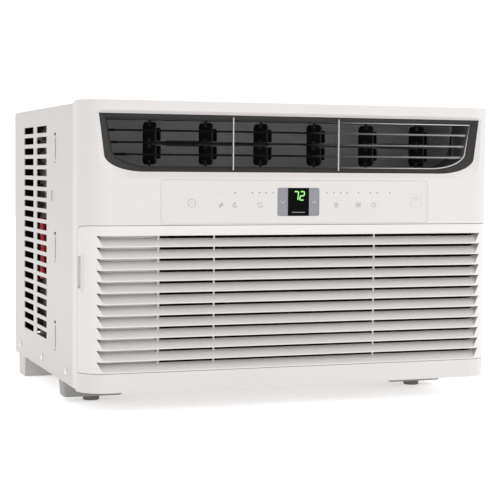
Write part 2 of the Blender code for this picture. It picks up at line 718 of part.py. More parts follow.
def make_filter():
    left = -BLANK_EDGE + 2 * MM
    right = SCREEN_HALF
    front = from_front(FILTER_FRONT)
    back = front + FILTER_THICKNESS
    low = HINGE_Z + 2 * MM
    high = up(GRILLE_TOP) - 3 * MM
    bm = bmesh.new()
    box(bm, left, right, front, back, low, high)
    screen = piece("air_filter", bm, GREY_PLASTIC)
    pockets = bmesh.new()
    span = (right - left - FILTER_RIM) / FILTER_BARS
    for index in range(FILTER_BARS):
        start = left + FILTER_RIM + index * span
        for y0, y1 in ((front - FILTER_THICKNESS, front + FILTER_THICKNESS / 3),
                       (back - FILTER_THICKNESS / 3, back + FILTER_THICKNESS)):
            box(pockets, start, start + span - FILTER_RIM, y0, y1,
                low + FILTER_RIM, high - FILTER_RIM)
    cut(screen, pockets)
    pivot(screen, ((left + right) / 2, front, low))


# ---- outlet -------------------------------------------------------------------------
def louver_spot(height):
    return from_front(LOUVER_Y), up(height)


def make_bezel():
    front = FRONT + BEZEL_RECESS + GAP
    flange_back = front + BEZEL_FLANGE - 2 * GAP
    back = from_front(BEZEL_BACK)
    bm = bmesh.new()
    prism(bm, outlet_outline(GAP, GAP, GAP), "Y", front, flange_back)
    bezel = piece("outlet_bezel", bm, DARK_PLASTIC)
    sleeve = bmesh.new()
    prism(sleeve, inner_outline(SLEEVE_WALL), "Y", front + BEZEL_FLANGE / 2, back)
    join(bezel, sleeve)
    bore = bmesh.new()
    prism(bore, inner_outline(), "Y", front - BEZEL_FLANGE, back + BEZEL_FLANGE)
    cut(bezel, bore)
    mouth = bmesh.new()
    loft(mouth, [(x, front - GAP, z) for x, z in outlet_outline(BEZEL_RIM, BEZEL_RIM, BEZEL_RIM)],
         [(x, front + BEZEL_MOUTH, z) for x, z in inner_outline(-GAP)])
    cut(bezel, mouth)

    ribs = bmesh.new()
    for middle in RIBS:
        box(ribs, middle - RIB_WIDTH / 2, middle + RIB_WIDTH / 2, front + GAP, front + GAP + RIB_DEPTH,
            up(OUTLET_BOTTOM) + BEZEL_RIM, up(OUTLET_TOP) - BEZEL_RIM)
    join(bezel, ribs)

    holes = bmesh.new()
    for height in LOUVER_HEIGHTS:
        y, z = louver_spot(height)
        reach = inner_half_width(height) + SLEEVE_WALL - GAP
        rod(holes, (-reach, y, z), (reach, y, z), LOUVER_PIN + PIN_CLEARANCE, 12)
    for x in vane_places():
        y = from_front(VANE_Y)
        rod(holes, (x, y, up(OUTLET_BOTTOM - SLEEVE_WALL)), (x, y, up(OUTLET_TOP + SLEEVE_WALL)),
            VANE_PIN + PIN_CLEARANCE, 12)
    cut(bezel, holes)


def make_louvers():
    sweep = LOUVER_CHORD / 2 * math.sin(math.radians(LOUVER_TILT)) + LOUVER_THICKNESS / 2
    for name, height in zip(("lower_louver", "middle_louver", "upper_louver"), LOUVER_HEIGHTS):
        y, z = louver_spot(height)
        half = inner_half_width(height - sweep) - LOUVER_END_GAP
        bm = bmesh.new()
        rod(bm, (-half, y, z), (half, y, z), LOUVER_CHORD / 2, 16)
        squash = Matrix.Diagonal((1, 1, LOUVER_THICKNESS / LOUVER_CHORD, 1))
        here = Matrix.Translation((0, y, z))
        bmesh.ops.transform(bm, matrix=here @ squash @ here.inverted(), verts=bm.verts)
        louver = piece(name, bm, DARK_PLASTIC)
        notch = bmesh.new()
        side = LINK_THICKNESS / 2 + 2 * GAP
        box(notch, LINK_X - side, LINK_X + side, y + 1 * MM, y + LOUVER_CHORD,
            z - LOUVER_CHORD, z + LOUVER_CHORD)
        cut(louver, notch)
        pins = bmesh.new()
        reach = inner_half_width(height) + SLEEVE_WALL - 2 * GAP
        rod(pins, (-reach, y, z), (-half + LOUVER_END_GAP, y, z), LOUVER_PIN, 10)
        rod(pins, (half - LOUVER_END_GAP, y, z), (reach, y, z), LOUVER_PIN, 10)
        arm_y = y + LINK_ARM
        rod(pins, (LINK_X - 2 * LINK_THICKNESS, arm_y, z), (LINK_X + 2 * LINK_THICKNESS, arm_y, z),
            LINK_PIN, 8)
        join(louver, pins)
        pivot(louver, (0, y, z))


def make_louver_link():
    y = from_front(LOUVER_Y) + LINK_ARM
    end = 2 * LINK_PIN + PIN_CLEARANCE
    bm = bmesh.new()
    box(bm, LINK_X - LINK_THICKNESS / 2, LINK_X + LINK_THICKNESS / 2, y - LINK_DEPTH / 2,
        y + LINK_DEPTH / 2, up(LOUVER_HEIGHTS[0]) - end, up(LOUVER_HEIGHTS[-1]) + end)
    link = piece("louver_link", bm, BLACK_PLASTIC)
    holes = bmesh.new()
    for height in LOUVER_HEIGHTS:
        rod(holes, (LINK_X - LINK_THICKNESS, y, up(height)), (LINK_X + LINK_THICKNESS, y, up(height)),
            LINK_PIN + PIN_CLEARANCE, 8)
    cut(link, holes)
    pivot(link, (LINK_X, y, up(LOUVER_HEIGHTS[1])))


def vane_places():
    return [(index - 2.5) * VANE_PITCH for index in range(6)]


def bar_spot(x):
    """Where a vane's link pin stands, for a vane at x."""
    turn = math.radians(VANE_TURN)
    return x + VANE_ARM * math.sin(turn), from_front(VANE_Y) - VANE_ARM * math.cos(turn)


BAR_MIDDLE = up((OUTLET_TOP + OUTLET_BOTTOM) / 2)


def make_vanes():
    low = up(OUTLET_BOTTOM + BEZEL_LIP + VANE_END_GAP)
    high = up(OUTLET_TOP - BEZEL_LIP - VANE_END_GAP)
    y = from_front(VANE_Y)
    for index, x in enumerate(vane_places()):
        group = "left" if index < 3 else "right"
        bm = bmesh.new()
        box(bm, -VANE_THICKNESS / 2, VANE_THICKNESS / 2, -VANE_CHORD / 2, VANE_CHORD / 2, low, high)
        turn = Matrix.Translation((x, y, 0)) @ Matrix.Rotation(math.radians(VANE_TURN), 4, "Z")
        bmesh.ops.transform(bm, matrix=turn, verts=bm.verts)
        vane = piece(f"{group}_vane_{index % 3 + 1}", bm, BLACK_PLASTIC)
        notch = bmesh.new()
        box(notch, -VANE_CHORD, VANE_CHORD, -VANE_CHORD, -VANE_ARM + BAR_DEPTH / 2 + 2.6 * MM,
            BAR_MIDDLE - BAR_NOTCH / 2, BAR_MIDDLE + BAR_NOTCH / 2)
        bmesh.ops.transform(notch, matrix=turn, verts=notch.verts)
        cut(vane, notch)
        pins = bmesh.new()
        reach = VANE_END_GAP + SLEEVE_WALL - 2 * GAP
        rod(pins, (x, y, low - reach), (x, y, low + VANE_END_GAP), VANE_PIN, 10)
        rod(pins, (x, y, high - VANE_END_GAP), (x, y, high + reach), VANE_PIN, 10)
        pin_x, pin_y = bar_spot(x)
        rod(pins, (pin_x, pin_y, BAR_MIDDLE - BAR_NOTCH), (pin_x, pin_y, BAR_MIDDLE + BAR_NOTCH),
            BAR_PIN, 8)
        join(vane, pins)
        pivot(vane, (x, y, BAR_MIDDLE))


def make_vane_links():
    places = vane_places()
    for label, group, thumb in (("left", places[:3], (0, 1)), ("right", places[3:], (1, 2))):
        first_x, y = bar_spot(group[0])
        last_x = bar_spot(group[-1])[0]
        end = 3 * BAR_PIN
        low = BAR_MIDDLE - BAR_HEIGHT / 2
        high = BAR_MIDDLE + BAR_HEIGHT / 2
        bm = bmesh.new()
        box(bm, first_x - end, last_x + end, y - BAR_DEPTH / 2, y + BAR_DEPTH / 2, low, high)
        bar = piece(f"{label}_vane_link", bm, BLACK_PLASTIC)
        middle = (group[thumb[0]] + group[thumb[1]]) / 2
        start = middle - THUMB_WIDTH / 2
        tab = bmesh.new()
        box(tab, start, start + THUMB_WIDTH, y - BAR_DEPTH / 2 - THUMB_REACH, y, low - 1 * MM, high + 1 * MM)
        join(bar, tab)
        teeth = bmesh.new()
        pitch = THUMB_WIDTH / THUMB_TEETH
        tab_front = y - BAR_DEPTH / 2 - THUMB_REACH
        for tooth in range(THUMB_TEETH - 1):
            line = start + (tooth + 1) * pitch
            box(teeth, line - pitch / 4, line + pitch / 4, tab_front - 1 * MM, tab_front + 1 * MM,
                low - 2 * MM, high + 2 * MM)
        cut(bar, teeth)
        holes = bmesh.new()
        for x in group:
            pin_x = bar_spot(x)[0]
            rod(holes, (pin_x, y, low - BAR_HEIGHT), (pin_x, y, high + BAR_HEIGHT),
                BAR_PIN + PIN_CLEARANCE, 8)
        cut(bar, holes)
        pivot(bar, (first_x, y, BAR_MIDDLE))


# ---- controls -----------------------------------------------------------------------
def all_keys():
    """Every key's middle, height, width and tall, with the two at the display."""
    keys = dict(KEYS)
    wide = DISPLAY_HALF - WINDOW_HALF
    tall = DISPLAY_TOP - DISPLAY_BOTTOM
    height = (DISPLAY_TOP + DISPLAY_BOTTOM) / 2
    keys["temperature_down_key"] = (-WINDOW_HALF - wide / 2, height, wide, tall)
    keys["temperature_up_key"] = (WINDOW_HALF + wide / 2, height, wide, tall)
    return keys


def key_outline(middle, height, width, tall, inset, round_key):
    half_x = width / 2 - inset
    half_z = tall / 2 - inset
    if round_key:
        return arc(middle, up(height), half_x, half_z, 0, 345, 23)
    radius = KEY_CORNER - inset
    outline = []
    for corner, start in (((1, 1), 0), ((-1, 1), 90), ((-1, -1), 180), ((1, -1), 270)):
        outline += arc(middle + corner[0] * (half_x - radius), up(height) + corner[1] * (half_z - radius),
                       radius, radius, start, start + 90, 2)
    return outline


def make_controls():
    face = FRONT + GAP / 3
    back = FRONT + OVERLAY_THICKNESS + GAP
    bm = bmesh.new()
    box(bm, -OVERLAY_HALF + GAP, OVERLAY_HALF - GAP, face, back,
        up(OVERLAY_BOTTOM) + GAP, up(OVERLAY_TOP) - GAP)
    overlay = piece("control_overlay", bm, WHITE_PLASTIC)
    holes = bmesh.new()
    for name, (middle, height, width, tall) in KEYS.items():
        prism(holes, key_outline(middle, height, width, tall, 0, name == "power_key"),
              "Y", FRONT - FRAME_WALL, FRONT + FRAME_WALL)
    box(holes, -DISPLAY_HALF, DISPLAY_HALF, FRONT - FRAME_WALL, FRONT + FRAME_WALL,
        up(DISPLAY_BOTTOM), up(DISPLAY_TOP))
    cut(overlay, holes)

    for name, (middle, height, width, tall) in all_keys().items():
        temperature = name.startswith("temperature")
        bm = bmesh.new()
        prism(bm, key_outline(middle, height, width, tall, KEY_GAP, name == "power_key"), "Y", face, back - GAP)
        key = piece(name, bm, GREY_PLASTIC if temperature else WHITE_PLASTIC)
        stem = bmesh.new()
        inset = KEY_CORNER + 2 * GAP
        box(stem, middle - width / 2 + inset, middle + width / 2 - inset, face + GAP, FRONT + KEY_STEM,
            up(height) - tall / 2 + inset, up(height) + tall / 2 - inset)
        join(key, stem)
        pivot(key, (middle, face, up(height)))

    box_piece("display_window", GLOSS_BLACK, -WINDOW_HALF + GAP, WINDOW_HALF - GAP, face,
              FRONT + OVERLAY_THICKNESS + GAP, up(DISPLAY_BOTTOM) + GAP, up(DISPLAY_TOP) - GAP)
    board_front = FRONT + KEY_STEM + KEY_TRAVEL + GAP
    box_piece("front_board", BOARD_GREEN, -OVERLAY_HALF + 5 * MM, OVERLAY_HALF - 5 * MM, board_front,
              board_front + BOARD_THICKNESS, up(OVERLAY_BOTTOM + 4 * MM), up(OVERLAY_TOP - 4 * MM))


# ---- cold side ----------------------------------------------------------------------
def row_height(low, high, rows, row):
    return low + (row + 0.5) * (high - low) / rows


def coil(name, left, right, front, back, low, high, rows):
    """A finned block with end plates and U-bends at both ends."""
    bm = bmesh.new()
    box(bm, left, right, front, back, low, high)
    block = piece(name, bm, ALUMINIUM)
    bends = bmesh.new()
    pitch = (high - low) / rows
    middle = (front + back) / 2
    for row in range(rows - 1):
        for side, end in ((-1, left), (1, right)):
            if (row % 2 == 0) == (side == 1):
                bottom = row_height(low, high, rows, row)
                bend(bends, end, side, middle, bottom, bottom + pitch)
    join(block, bends)


def bend(bm, end, side, y, low, high):
    """Half a ring of tube from one height to the next, standing out of a coil's end."""
    radius = (high - low) / 2
    spine = []
    for angle in (0, 45, 90, 135, 180):
        turn = math.radians(angle)
        spine.append((end + side * (BEND_TUBE / 2 + min(radius, 2 * BEND_TUBE) * math.sin(turn)),
                      (low + high) / 2 - radius * math.cos(turn)))
    spine = [(end - side * BEND_TUBE, spine[0][1])] + spine + [(end - side * BEND_TUBE, spine[-1][1])]
    rings = []
    for index, (x, z) in enumerate(spine):
        before = spine[max(index - 1, 0)]
        after = spine[min(index + 1, len(spine) - 1)]
        along = Vector((after[0] - before[0], 0, after[1] - before[1])).normalized()
        across = along.cross(Vector((0, 1, 0)))
        ring = []
        for corner in range(6):
            angle = math.radians(60 * corner)
            ring.append(bm.verts.new(Vector((x, y, z)) + BEND_TUBE * (
                math.cos(angle) * Vector((0, 1, 0)) + math.sin(angle) * across)))
        rings.append(ring)
    bm.faces.new(rings[0])
    bm.faces.new(rings[-1])
    for one, two in zip(rings, rings[1:]):
        for corner in range(6):
            after = (corner + 1) % 6
            bm.faces.new((one[corner], one[after], two[after], two[corner]))


def scroll_outline(grow):
    """Outline of the blower's scroll, open at the top, as (x, z) points."""
    points = []
    for step in range(19):
        angle = 180 + 180 * step / 18
        radius = SCROLL_START + SCROLL_GROWTH * step / 18 + grow
        turn = math.radians(angle)
        points.append((AXLE_X + radius * math.cos(turn), up(AXLE_Z) + radius * math.sin(turn)))
    top = up(DUCT_FLOOR) - GAP
    return [(points[0][0], top)] + points + [(points[-1][0], top)]


def make_cold_side():
    front = from_front(EVAPORATOR_FRONT)
    back = front + EVAPORATOR_DEPTH
    tray_low = PAN_TOP + GAP
    tray_floor = tray_low + 2 * MM
    coil("evaporator_coil", EVAPORATOR_LEFT, EVAPORATOR_RIGHT, front, back,
         up(EVAPORATOR_BOTTOM), up(EVAPORATOR_TOP), EVAPORATOR_ROWS)
    bm = bmesh.new()
    left = EVAPORATOR_LEFT - 3 * BEND_TUBE - TRAY_LIP
    right = EVAPORATOR_RIGHT + TRAY_LIP
    box(bm, left, right, front - GAP - PAN_WALL, back + TRAY_LIP, tray_low, tray_low + TRAY_DEPTH)
    tray = piece("drain_tray", bm, WHITE_FOAM)
    pocket = bmesh.new()
    box(pocket, left + PAN_WALL, right - PAN_WALL, front - GAP, back + TRAY_LIP - PAN_WALL,
        tray_floor, tray_low + 2 * TRAY_DEPTH)
    cut(tray, pocket)

    housing_front = from_front(HOUSING_FRONT)
    housing_back = housing_front + HOUSING_DEPTH
    bm = bmesh.new()
    prism(bm, scroll_outline(0), "Y", housing_front, housing_back)
    housing = piece("blower_housing", bm, WHITE_FOAM)
    inside = bmesh.new()
    inner = scroll_outline(-HOUSING_WALL)
    inner[0] = (inner[0][0], inner[0][1] + HOUSING_WALL)
    inner[-1] = (inner[-1][0], inner[-1][1] + HOUSING_WALL)
    prism(inside, inner, "Y", housing_front - HOUSING_WALL, housing_back - HOUSING_WALL)
    cut(housing, inside)
    hole = bmesh.new()
    rod(hole, (AXLE_X, housing_front, up(AXLE_Z)), (AXLE_X, housing_back + HOUSING_WALL, up(AXLE_Z)),
        3 * SHAFT_RADIUS, 16)
    cut(housing, hole)

    orifice_back = housing_front - GAP
    half = SCROLL_START + SCROLL_GROWTH + 8 * MM
    bm = bmesh.new()
    box(bm, AXLE_X - half, AXLE_X + half, orifice_back - HOUSING_WALL, orifice_back,
        PAN_TOP + GAP, up(DUCT_FLOOR) - GAP)
    orifice = piece("inlet_orifice", bm, WHITE_PLASTIC)
    hole = bmesh.new()
    rod(hole, (AXLE_X, orifice_back - 2 * HOUSING_WALL, up(AXLE_Z)),
        (AXLE_X, orifice_back + HOUSING_WALL, up(AXLE_Z)), ORIFICE_RADIUS, 32)
    cut(orifice, hole)

    duct_front = from_front(BEZEL_BACK) + GAP
    duct_low = up(DUCT_FLOOR)
    duct_high = up(DUCT_TOP)
    half = OUTLET_HALF_TOP - BEZEL_SIDE_LIP
    bm = bmesh.new()
    box(bm, -half, half, duct_front, housing_back, duct_low, duct_high)
    duct = piece("discharge_duct", bm, WHITE_FOAM)
    inside = bmesh.new()
    box(inside, -half + HOUSING_WALL, half - HOUSING_WALL, duct_front - HOUSING_WALL,
        housing_back - HOUSING_WALL, duct_low + HOUSING_WALL, duct_high - HOUSING_WALL)
    cut(duct, inside)
    throat = bmesh.new()
    box(throat, AXLE_X - SCROLL_START + HOUSING_WALL, AXLE_X + SCROLL_START + SCROLL_GROWTH - HOUSING_WALL,
        housing_front + HOUSING_WALL, housing_back - HOUSING_WALL,
        duct_low - HOUSING_WALL, duct_low + 2 * HOUSING_WALL)
    cut(duct, throat)

    wheel_front = housing_front + WHEEL_GAP
    wheel_back = housing_back - HOUSING_WALL - WHEEL_GAP
    plate = 2 * MM
    bm = bmesh.new()
    rod(bm, (AXLE_X, wheel_back - plate, up(AXLE_Z)), (AXLE_X, wheel_back, up(AXLE_Z)), WHEEL_RADIUS, 40)
    wheel = piece("blower_wheel", bm, BLACK_PLASTIC)
    ring = bmesh.new()
    rod(ring, (AXLE_X, wheel_front, up(AXLE_Z)), (AXLE_X, wheel_front + 2 * plate, up(AXLE_Z)),
        WHEEL_RADIUS, 40)
    hub_front = wheel_back - 8 * plate
    bore = bmesh.new()
    rod(bore, (AXLE_X, wheel_front - plate, up(AXLE_Z)), (AXLE_X, wheel_front + 3 * plate, up(AXLE_Z)),
        WHEEL_INNER, 40)
    rim = helper(ring)
    cut(rim, bore)
    blades = bmesh.new()
    for index in range(WHEEL_BLADES):
        turn = Matrix.Translation((AXLE_X, 0, up(AXLE_Z))) @ Matrix.Rotation(
            2 * math.pi * index / WHEEL_BLADES, 4, "Y")
        lean = Matrix.Translation(((WHEEL_INNER + WHEEL_RADIUS) / 2, 0, 0)) @ Matrix.Rotation(
            math.radians(30), 4, "Y")
        middle = Matrix.Translation((0, (wheel_front + wheel_back) / 2, 0))
        size = Matrix.Diagonal((WHEEL_RADIUS - WHEEL_INNER - 2 * MM, wheel_back - wheel_front - plate,
                                1 * MM, 1))
        bmesh.ops.create_cube(blades, size=1, matrix=turn @ lean @ middle @ size)
    join(wheel, blades)
    combine(wheel, rim, "UNION")
    hub = bmesh.new()
    rod(hub, (AXLE_X, hub_front, up(AXLE_Z)), (AXLE_X, wheel_back - plate / 2, up(AXLE_Z)),
        3 * SHAFT_RADIUS, 20)
    join(wheel, hub)
    axle = bmesh.new()
    rod(axle, (AXLE_X, hub_front - plate, up(AXLE_Z)), (AXLE_X, wheel_back + plate, up(AXLE_Z)),
        SHAFT_RADIUS + SHAFT_GAP, 16)
    cut(wheel, axle)
    pivot(wheel, (AXLE_X, wheel_back, up(AXLE_Z)))


# ---- hot side -----------------------------------------------------------------------
def make_drive():
    y = from_front(BULKHEAD_Y)
    bm = bmesh.new()
    box(bm, -INSIDE_HALF + 2 * MM, INSIDE_HALF - 2 * MM, y, y + BULKHEAD_THICKNESS,
        PAN_TOP + GAP, up(DUCT_TOP))
    bulkhead = piece("bulkhead", bm, WHITE_STEEL)
    hole = bmesh.new()
    rod(hole, (AXLE_X, y - 5 * MM, up(AXLE_Z)), (AXLE_X, y + 5 * MM, up(AXLE_Z)), 3 * SHAFT_RADIUS, 20)
    for x, z, radius in ((SUCTION_X, SUCTION_Z, SUCTION_RADIUS), (CAPILLARY_X, CAPILLARY_Z, CAPILLARY_RADIUS)):
        rod(hole, (x, y - 5 * MM, z), (x, y + 5 * MM, z), radius + 3 * MM, 12)
    cut(bulkhead, hole)

    motor_front = from_front(MOTOR_FRONT)
    motor_back = motor_front + MOTOR_LENGTH
    boss = 6 * MM
    bm = bmesh.new()
    rod(bm, (AXLE_X, motor_front, up(AXLE_Z)), (AXLE_X, motor_back, up(AXLE_Z)), MOTOR_RADIUS, 32)
    motor = piece("fan_motor", bm, STEEL)
    bosses = bmesh.new()
    rod(bosses, (AXLE_X, motor_front - boss, up(AXLE_Z)), (AXLE_X, motor_back + boss, up(AXLE_Z)),
        4 * SHAFT_RADIUS, 20)
    join(motor, bosses)
    bore = bmesh.new()
    rod(bore, (AXLE_X, motor_front - 2 * boss, up(AXLE_Z)), (AXLE_X, motor_back + 2 * boss, up(AXLE_Z)),
        SHAFT_RADIUS + SHAFT_GAP, 16)
    cut(motor, bore)

    shaft_front = from_front(HOUSING_FRONT + HOUSING_DEPTH) - HOUSING_WALL - WHEEL_GAP - 14 * MM
    shaft_back = from_front(FAN_FRONT + FAN_DEPTH)
    bm = bmesh.new()
    rod(bm, (AXLE_X, shaft_front, up(AXLE_Z)), (AXLE_X, shaft_back, up(AXLE_Z)), SHAFT_RADIUS, 16)
    shaft = piece("motor_shaft", bm, STEEL)
    pivot(shaft, (AXLE_X, shaft_front, up(AXLE_Z)))

    plate_back = motor_front - GAP
    plate_front = plate_back - BRACKET_THICKNESS
    bm = bmesh.new()
    box(bm, AXLE_X - MOTOR_RADIUS, AXLE_X + MOTOR_RADIUS, plate_front, plate_back,
        PAN_TOP + GAP, up(AXLE_Z) + MOTOR_RADIUS)
    bracket = piece("motor_bracket", bm, GREY_STEEL)
    sole = bmesh.new()
    box(sole, AXLE_X - MOTOR_RADIUS, AXLE_X + MOTOR_RADIUS, plate_front, motor_back,
        PAN_TOP + GAP, PAN_TOP + GAP + BRACKET_THICKNESS)
    join(bracket, sole)
    hole = bmesh.new()
    rod(hole, (AXLE_X, plate_front - boss, up(AXLE_Z)), (AXLE_X, plate_back + boss, up(AXLE_Z)),
        4 * SHAFT_RADIUS + 2 * GAP, 20)
    cut(bracket, hole)


def make_fan():
    front = from_front(FAN_FRONT)
    back = front + FAN_DEPTH
    hub_radius = 22 * MM
    bm = bmesh.new()
    rod(bm, (AXLE_X, front, up(AXLE_Z)), (AXLE_X, back - 2 * MM, up(AXLE_Z)), hub_radius, 24)
    fan = piece("condenser_fan", bm, BLACK_PLASTIC)
    blades = bmesh.new()
    for index in range(FAN_BLADES):
        turn = Matrix.Translation((AXLE_X, (front + back) / 2, up(AXLE_Z))) @ Matrix.Rotation(
            2 * math.pi * index / FAN_BLADES, 4, "Y")
        pitch = Matrix.Translation(((hub_radius + FAN_RADIUS) / 2, 0, 0)) @ Matrix.Rotation(
            math.radians(22), 4, "X")
        size = Matrix.Diagonal((FAN_RADIUS - hub_radius + 4 * MM, 2.5 * MM, 50 * MM, 1))
        bmesh.ops.create_cube(blades, size=1, matrix=turn @ pitch @ size)
    join(fan, blades)
    ring = bmesh.new()
    rod(ring, (AXLE_X, back - 12 * MM, up(AXLE_Z)), (AXLE_X, back - 2 * MM, up(AXLE_Z)),
        FAN_RADIUS + SLINGER, 40)
    bore = bmesh.new()
    rod(bore, (AXLE_X, front - 5 * MM, up(AXLE_Z)), (AXLE_X, back + 5 * MM, up(AXLE_Z)), FAN_RADIUS, 40)
    slinger = helper(ring)
    cut(slinger, bore)
    combine(fan, slinger, "UNION")
    axle = bmesh.new()
    rod(axle, (AXLE_X, front - 5 * MM, up(AXLE_Z)), (AXLE_X, back + 5 * MM, up(AXLE_Z)),
        SHAFT_RADIUS + SHAFT_GAP, 16)
    cut(fan, axle)
    pivot(fan, (AXLE_X, front, up(AXLE_Z)))

    y = from_front(SHROUD_Y)
    mouth = FAN_RADIUS + SLINGER + FAN_CLEARANCE
    bm = bmesh.new()
    box(bm, CONDENSER_LEFT, CONDENSER_RIGHT, y, y + HOUSING_WALL, up(CONDENSER_BOTTOM), up(CONDENSER_TOP))
    shroud = piece("fan_shroud", bm, BLACK_PLASTIC)
    ring = bmesh.new()
    rod(ring, (AXLE_X, y - SHROUD_RING, up(AXLE_Z)), (AXLE_X, y + HOUSING_WALL / 2, up(AXLE_Z)),
        mouth + HOUSING_WALL, 40)
    join(shroud, ring)
    hole = bmesh.new()
    rod(hole, (AXLE_X, y - 2 * SHROUD_RING, up(AXLE_Z)), (AXLE_X, y + 2 * HOUSING_WALL, up(AXLE_Z)),
        mouth, 40)
    cut(shroud, hole)
    front = from_front(CONDENSER_FRONT)
    coil("condenser_coil", CONDENSER_LEFT, CONDENSER_RIGHT, front, front + CONDENSER_DEPTH,
         up(CONDENSER_BOTTOM), up(CONDENSER_TOP), CONDENSER_ROWS)


def make_compressor():
    y = from_front(COMPRESSOR_Y)
    base = PAN_TOP + GAP + GROMMET_HEIGHT
    bottom = base + COMPRESSOR_FOOT
    top = compressor_top()
    dome = 14 * MM
    profile = bmesh.new()
    outline = [(0, top)] + [(COMPRESSOR_RADIUS * math.sin(math.radians(angle)),
                             top - dome + dome * math.cos(math.radians(angle)))
                            for angle in (30, 55, 75, 90)]
    outline += [(COMPRESSOR_RADIUS, bottom), (0, bottom)]
    verts = [profile.verts.new((x, 0, z)) for x, z in outline]
    for one, two in zip(verts, verts[1:]):
        profile.edges.new((one, two))
    mesh = bpy.data.meshes.new("compressor")
    profile.to_mesh(mesh)
    profile.free()
    mesh.materials.append(BLACK_STEEL)
    compressor = bpy.data.objects.new("compressor", mesh)
    compressor.location = (COMPRESSOR_X, y, 0)
    parts.objects.link(compressor)
    screw = compressor.modifiers.new("screw", "SCREW")
    screw.axis = "Z"
    screw.steps = 32
    screw.render_steps = 32
    screw.use_merge_vertices = True
    screw.merge_threshold = 0.00005
    screw.use_smooth_shade = True

    can_x, can_y = accumulator_spot()
    can = bmesh.new()
    rod(can, (can_x, can_y, bottom + ACCUMULATOR_LIFT), (can_x, can_y, accumulator_top()),
        ACCUMULATOR_RADIUS, 20)
    join(compressor, can)
    strap = bmesh.new()
    strap_z = (bottom + ACCUMULATOR_LIFT + accumulator_top()) / 2
    rod(strap, (COMPRESSOR_X, y, strap_z), (can_x, can_y, strap_z), STRAP_RADIUS, 12)
    join(compressor, strap)
    foot = bmesh.new()
    rod(foot, (COMPRESSOR_X, y, base), (COMPRESSOR_X, y, bottom + 1 * MM), GROMMET_CIRCLE + 10 * MM, 3)
    join(compressor, foot)

    for index in range(3):
        angle = math.radians(90 + 120 * index)
        spot_x = COMPRESSOR_X + (GROMMET_CIRCLE - 8 * MM) * math.cos(angle)
        spot_y = y + (GROMMET_CIRCLE - 8 * MM) * math.sin(angle)
        bm = bmesh.new()
        rod(bm, (spot_x, spot_y, PAN_TOP + GAP), (spot_x, spot_y, base - GAP), 9 * MM, 16)
        piece(f"compressor_grommet_{index + 1}", bm, RUBBER)

    thick, wide, tall = TERMINAL_COVER
    right = COMPRESSOR_X - COMPRESSOR_RADIUS - 3 * GAP
    box_piece("terminal_cover", RED_PLASTIC, right - thick, right, y - wide / 2, y + wide / 2,
              up(TERMINAL_BOTTOM), up(TERMINAL_BOTTOM) + tall)


def accumulator_spot():
    reach = COMPRESSOR_RADIUS + ACCUMULATOR_RADIUS + ACCUMULATOR_GAP
    turn = math.radians(ACCUMULATOR_ANGLE)
    return COMPRESSOR_X + reach * math.cos(turn), from_front(COMPRESSOR_Y) + reach * math.sin(turn)


def compressor_top():
    return PAN_TOP + GAP + GROMMET_HEIGHT + COMPRESSOR_FOOT + COMPRESSOR_HEIGHT


def accumulator_top():
    return compressor_top() - ACCUMULATOR_DROP


def make_lines():
    """Three copper lines; both coils' tubes begin and end on their left side."""
    y = from_front(COMPRESSOR_Y)
    can_x, can_y = accumulator_spot()
    coil_y = from_front(EVAPORATOR_FRONT) + EVAPORATOR_DEPTH / 2
    wall_y = from_front(BULKHEAD_Y)
    cold_low = row_height(up(EVAPORATOR_BOTTOM), up(EVAPORATOR_TOP), EVAPORATOR_ROWS, 0)
    cold_high = row_height(up(EVAPORATOR_BOTTOM), up(EVAPORATOR_TOP), EVAPORATOR_ROWS,
                           EVAPORATOR_ROWS - 1)
    cold_end = EVAPORATOR_LEFT - 2 * GAP
    pipe("suction_line", COPPER, [
        (cold_end, coil_y, cold_high),
        (cold_end - 8 * MM, coil_y, cold_high),
        (SUCTION_X, coil_y + 12 * MM, cold_high + 2 * MM),
        (SUCTION_X, wall_y - 12 * MM, SUCTION_Z),
        (SUCTION_X, wall_y + 12 * MM, SUCTION_Z),
        (can_x - 14 * MM, can_y - 8 * MM, SUCTION_Z + 8 * MM),
        (can_x, can_y, accumulator_top() + 36 * MM),
        (can_x, can_y, accumulator_top() + 2 * GAP)], SUCTION_RADIUS)
    hot_y = from_front(CONDENSER_FRONT) + CONDENSER_DEPTH / 2
    hot_low = row_height(up(CONDENSER_BOTTOM), up(CONDENSER_TOP), CONDENSER_ROWS, 0)
    hot_high = row_height(up(CONDENSER_BOTTOM), up(CONDENSER_TOP), CONDENSER_ROWS,
                          CONDENSER_ROWS - 1)
    hot_end = CONDENSER_LEFT - 2 * GAP
    top = compressor_top()
    pipe("discharge_line", COPPER, [
        (COMPRESSOR_X, y, top + 2 * GAP),
        (COMPRESSOR_X, y, top + 26 * MM),
        (COMPRESSOR_X - 30 * MM, y + 22 * MM, top + 38 * MM),
        (hot_end - 15 * MM, y + 60 * MM, hot_high - 12 * MM),
        (hot_end - 15 * MM, hot_y - 24 * MM, hot_high),
        (hot_end - 8 * MM, hot_y, hot_high),
        (hot_end, hot_y, hot_high)], DISCHARGE_RADIUS)
    pipe("capillary_tube", COPPER, [
        (hot_end, hot_y, hot_low),
        (hot_end - 8 * MM, hot_y, hot_low),
        (hot_end - 15 * MM, hot_y - 30 * MM, hot_low + 4 * MM),
        (hot_end - 15 * MM, y, CAPILLARY_Z - 6 * MM),
        (CAPILLARY_X - 30 * MM, wall_y + 34 * MM, CAPILLARY_Z),
        (CAPILLARY_X, wall_y + 10 * MM, CAPILLARY_Z),
        (CAPILLARY_X, wall_y - 10 * MM, CAPILLARY_Z),
        (CAPILLARY_X, coil_y + 14 * MM, cold_low + 4 * MM),
        (cold_end - 8 * MM, coil_y, cold_low),
        (cold_end, coil_y, cold_low)], CAPILLARY_RADIUS)


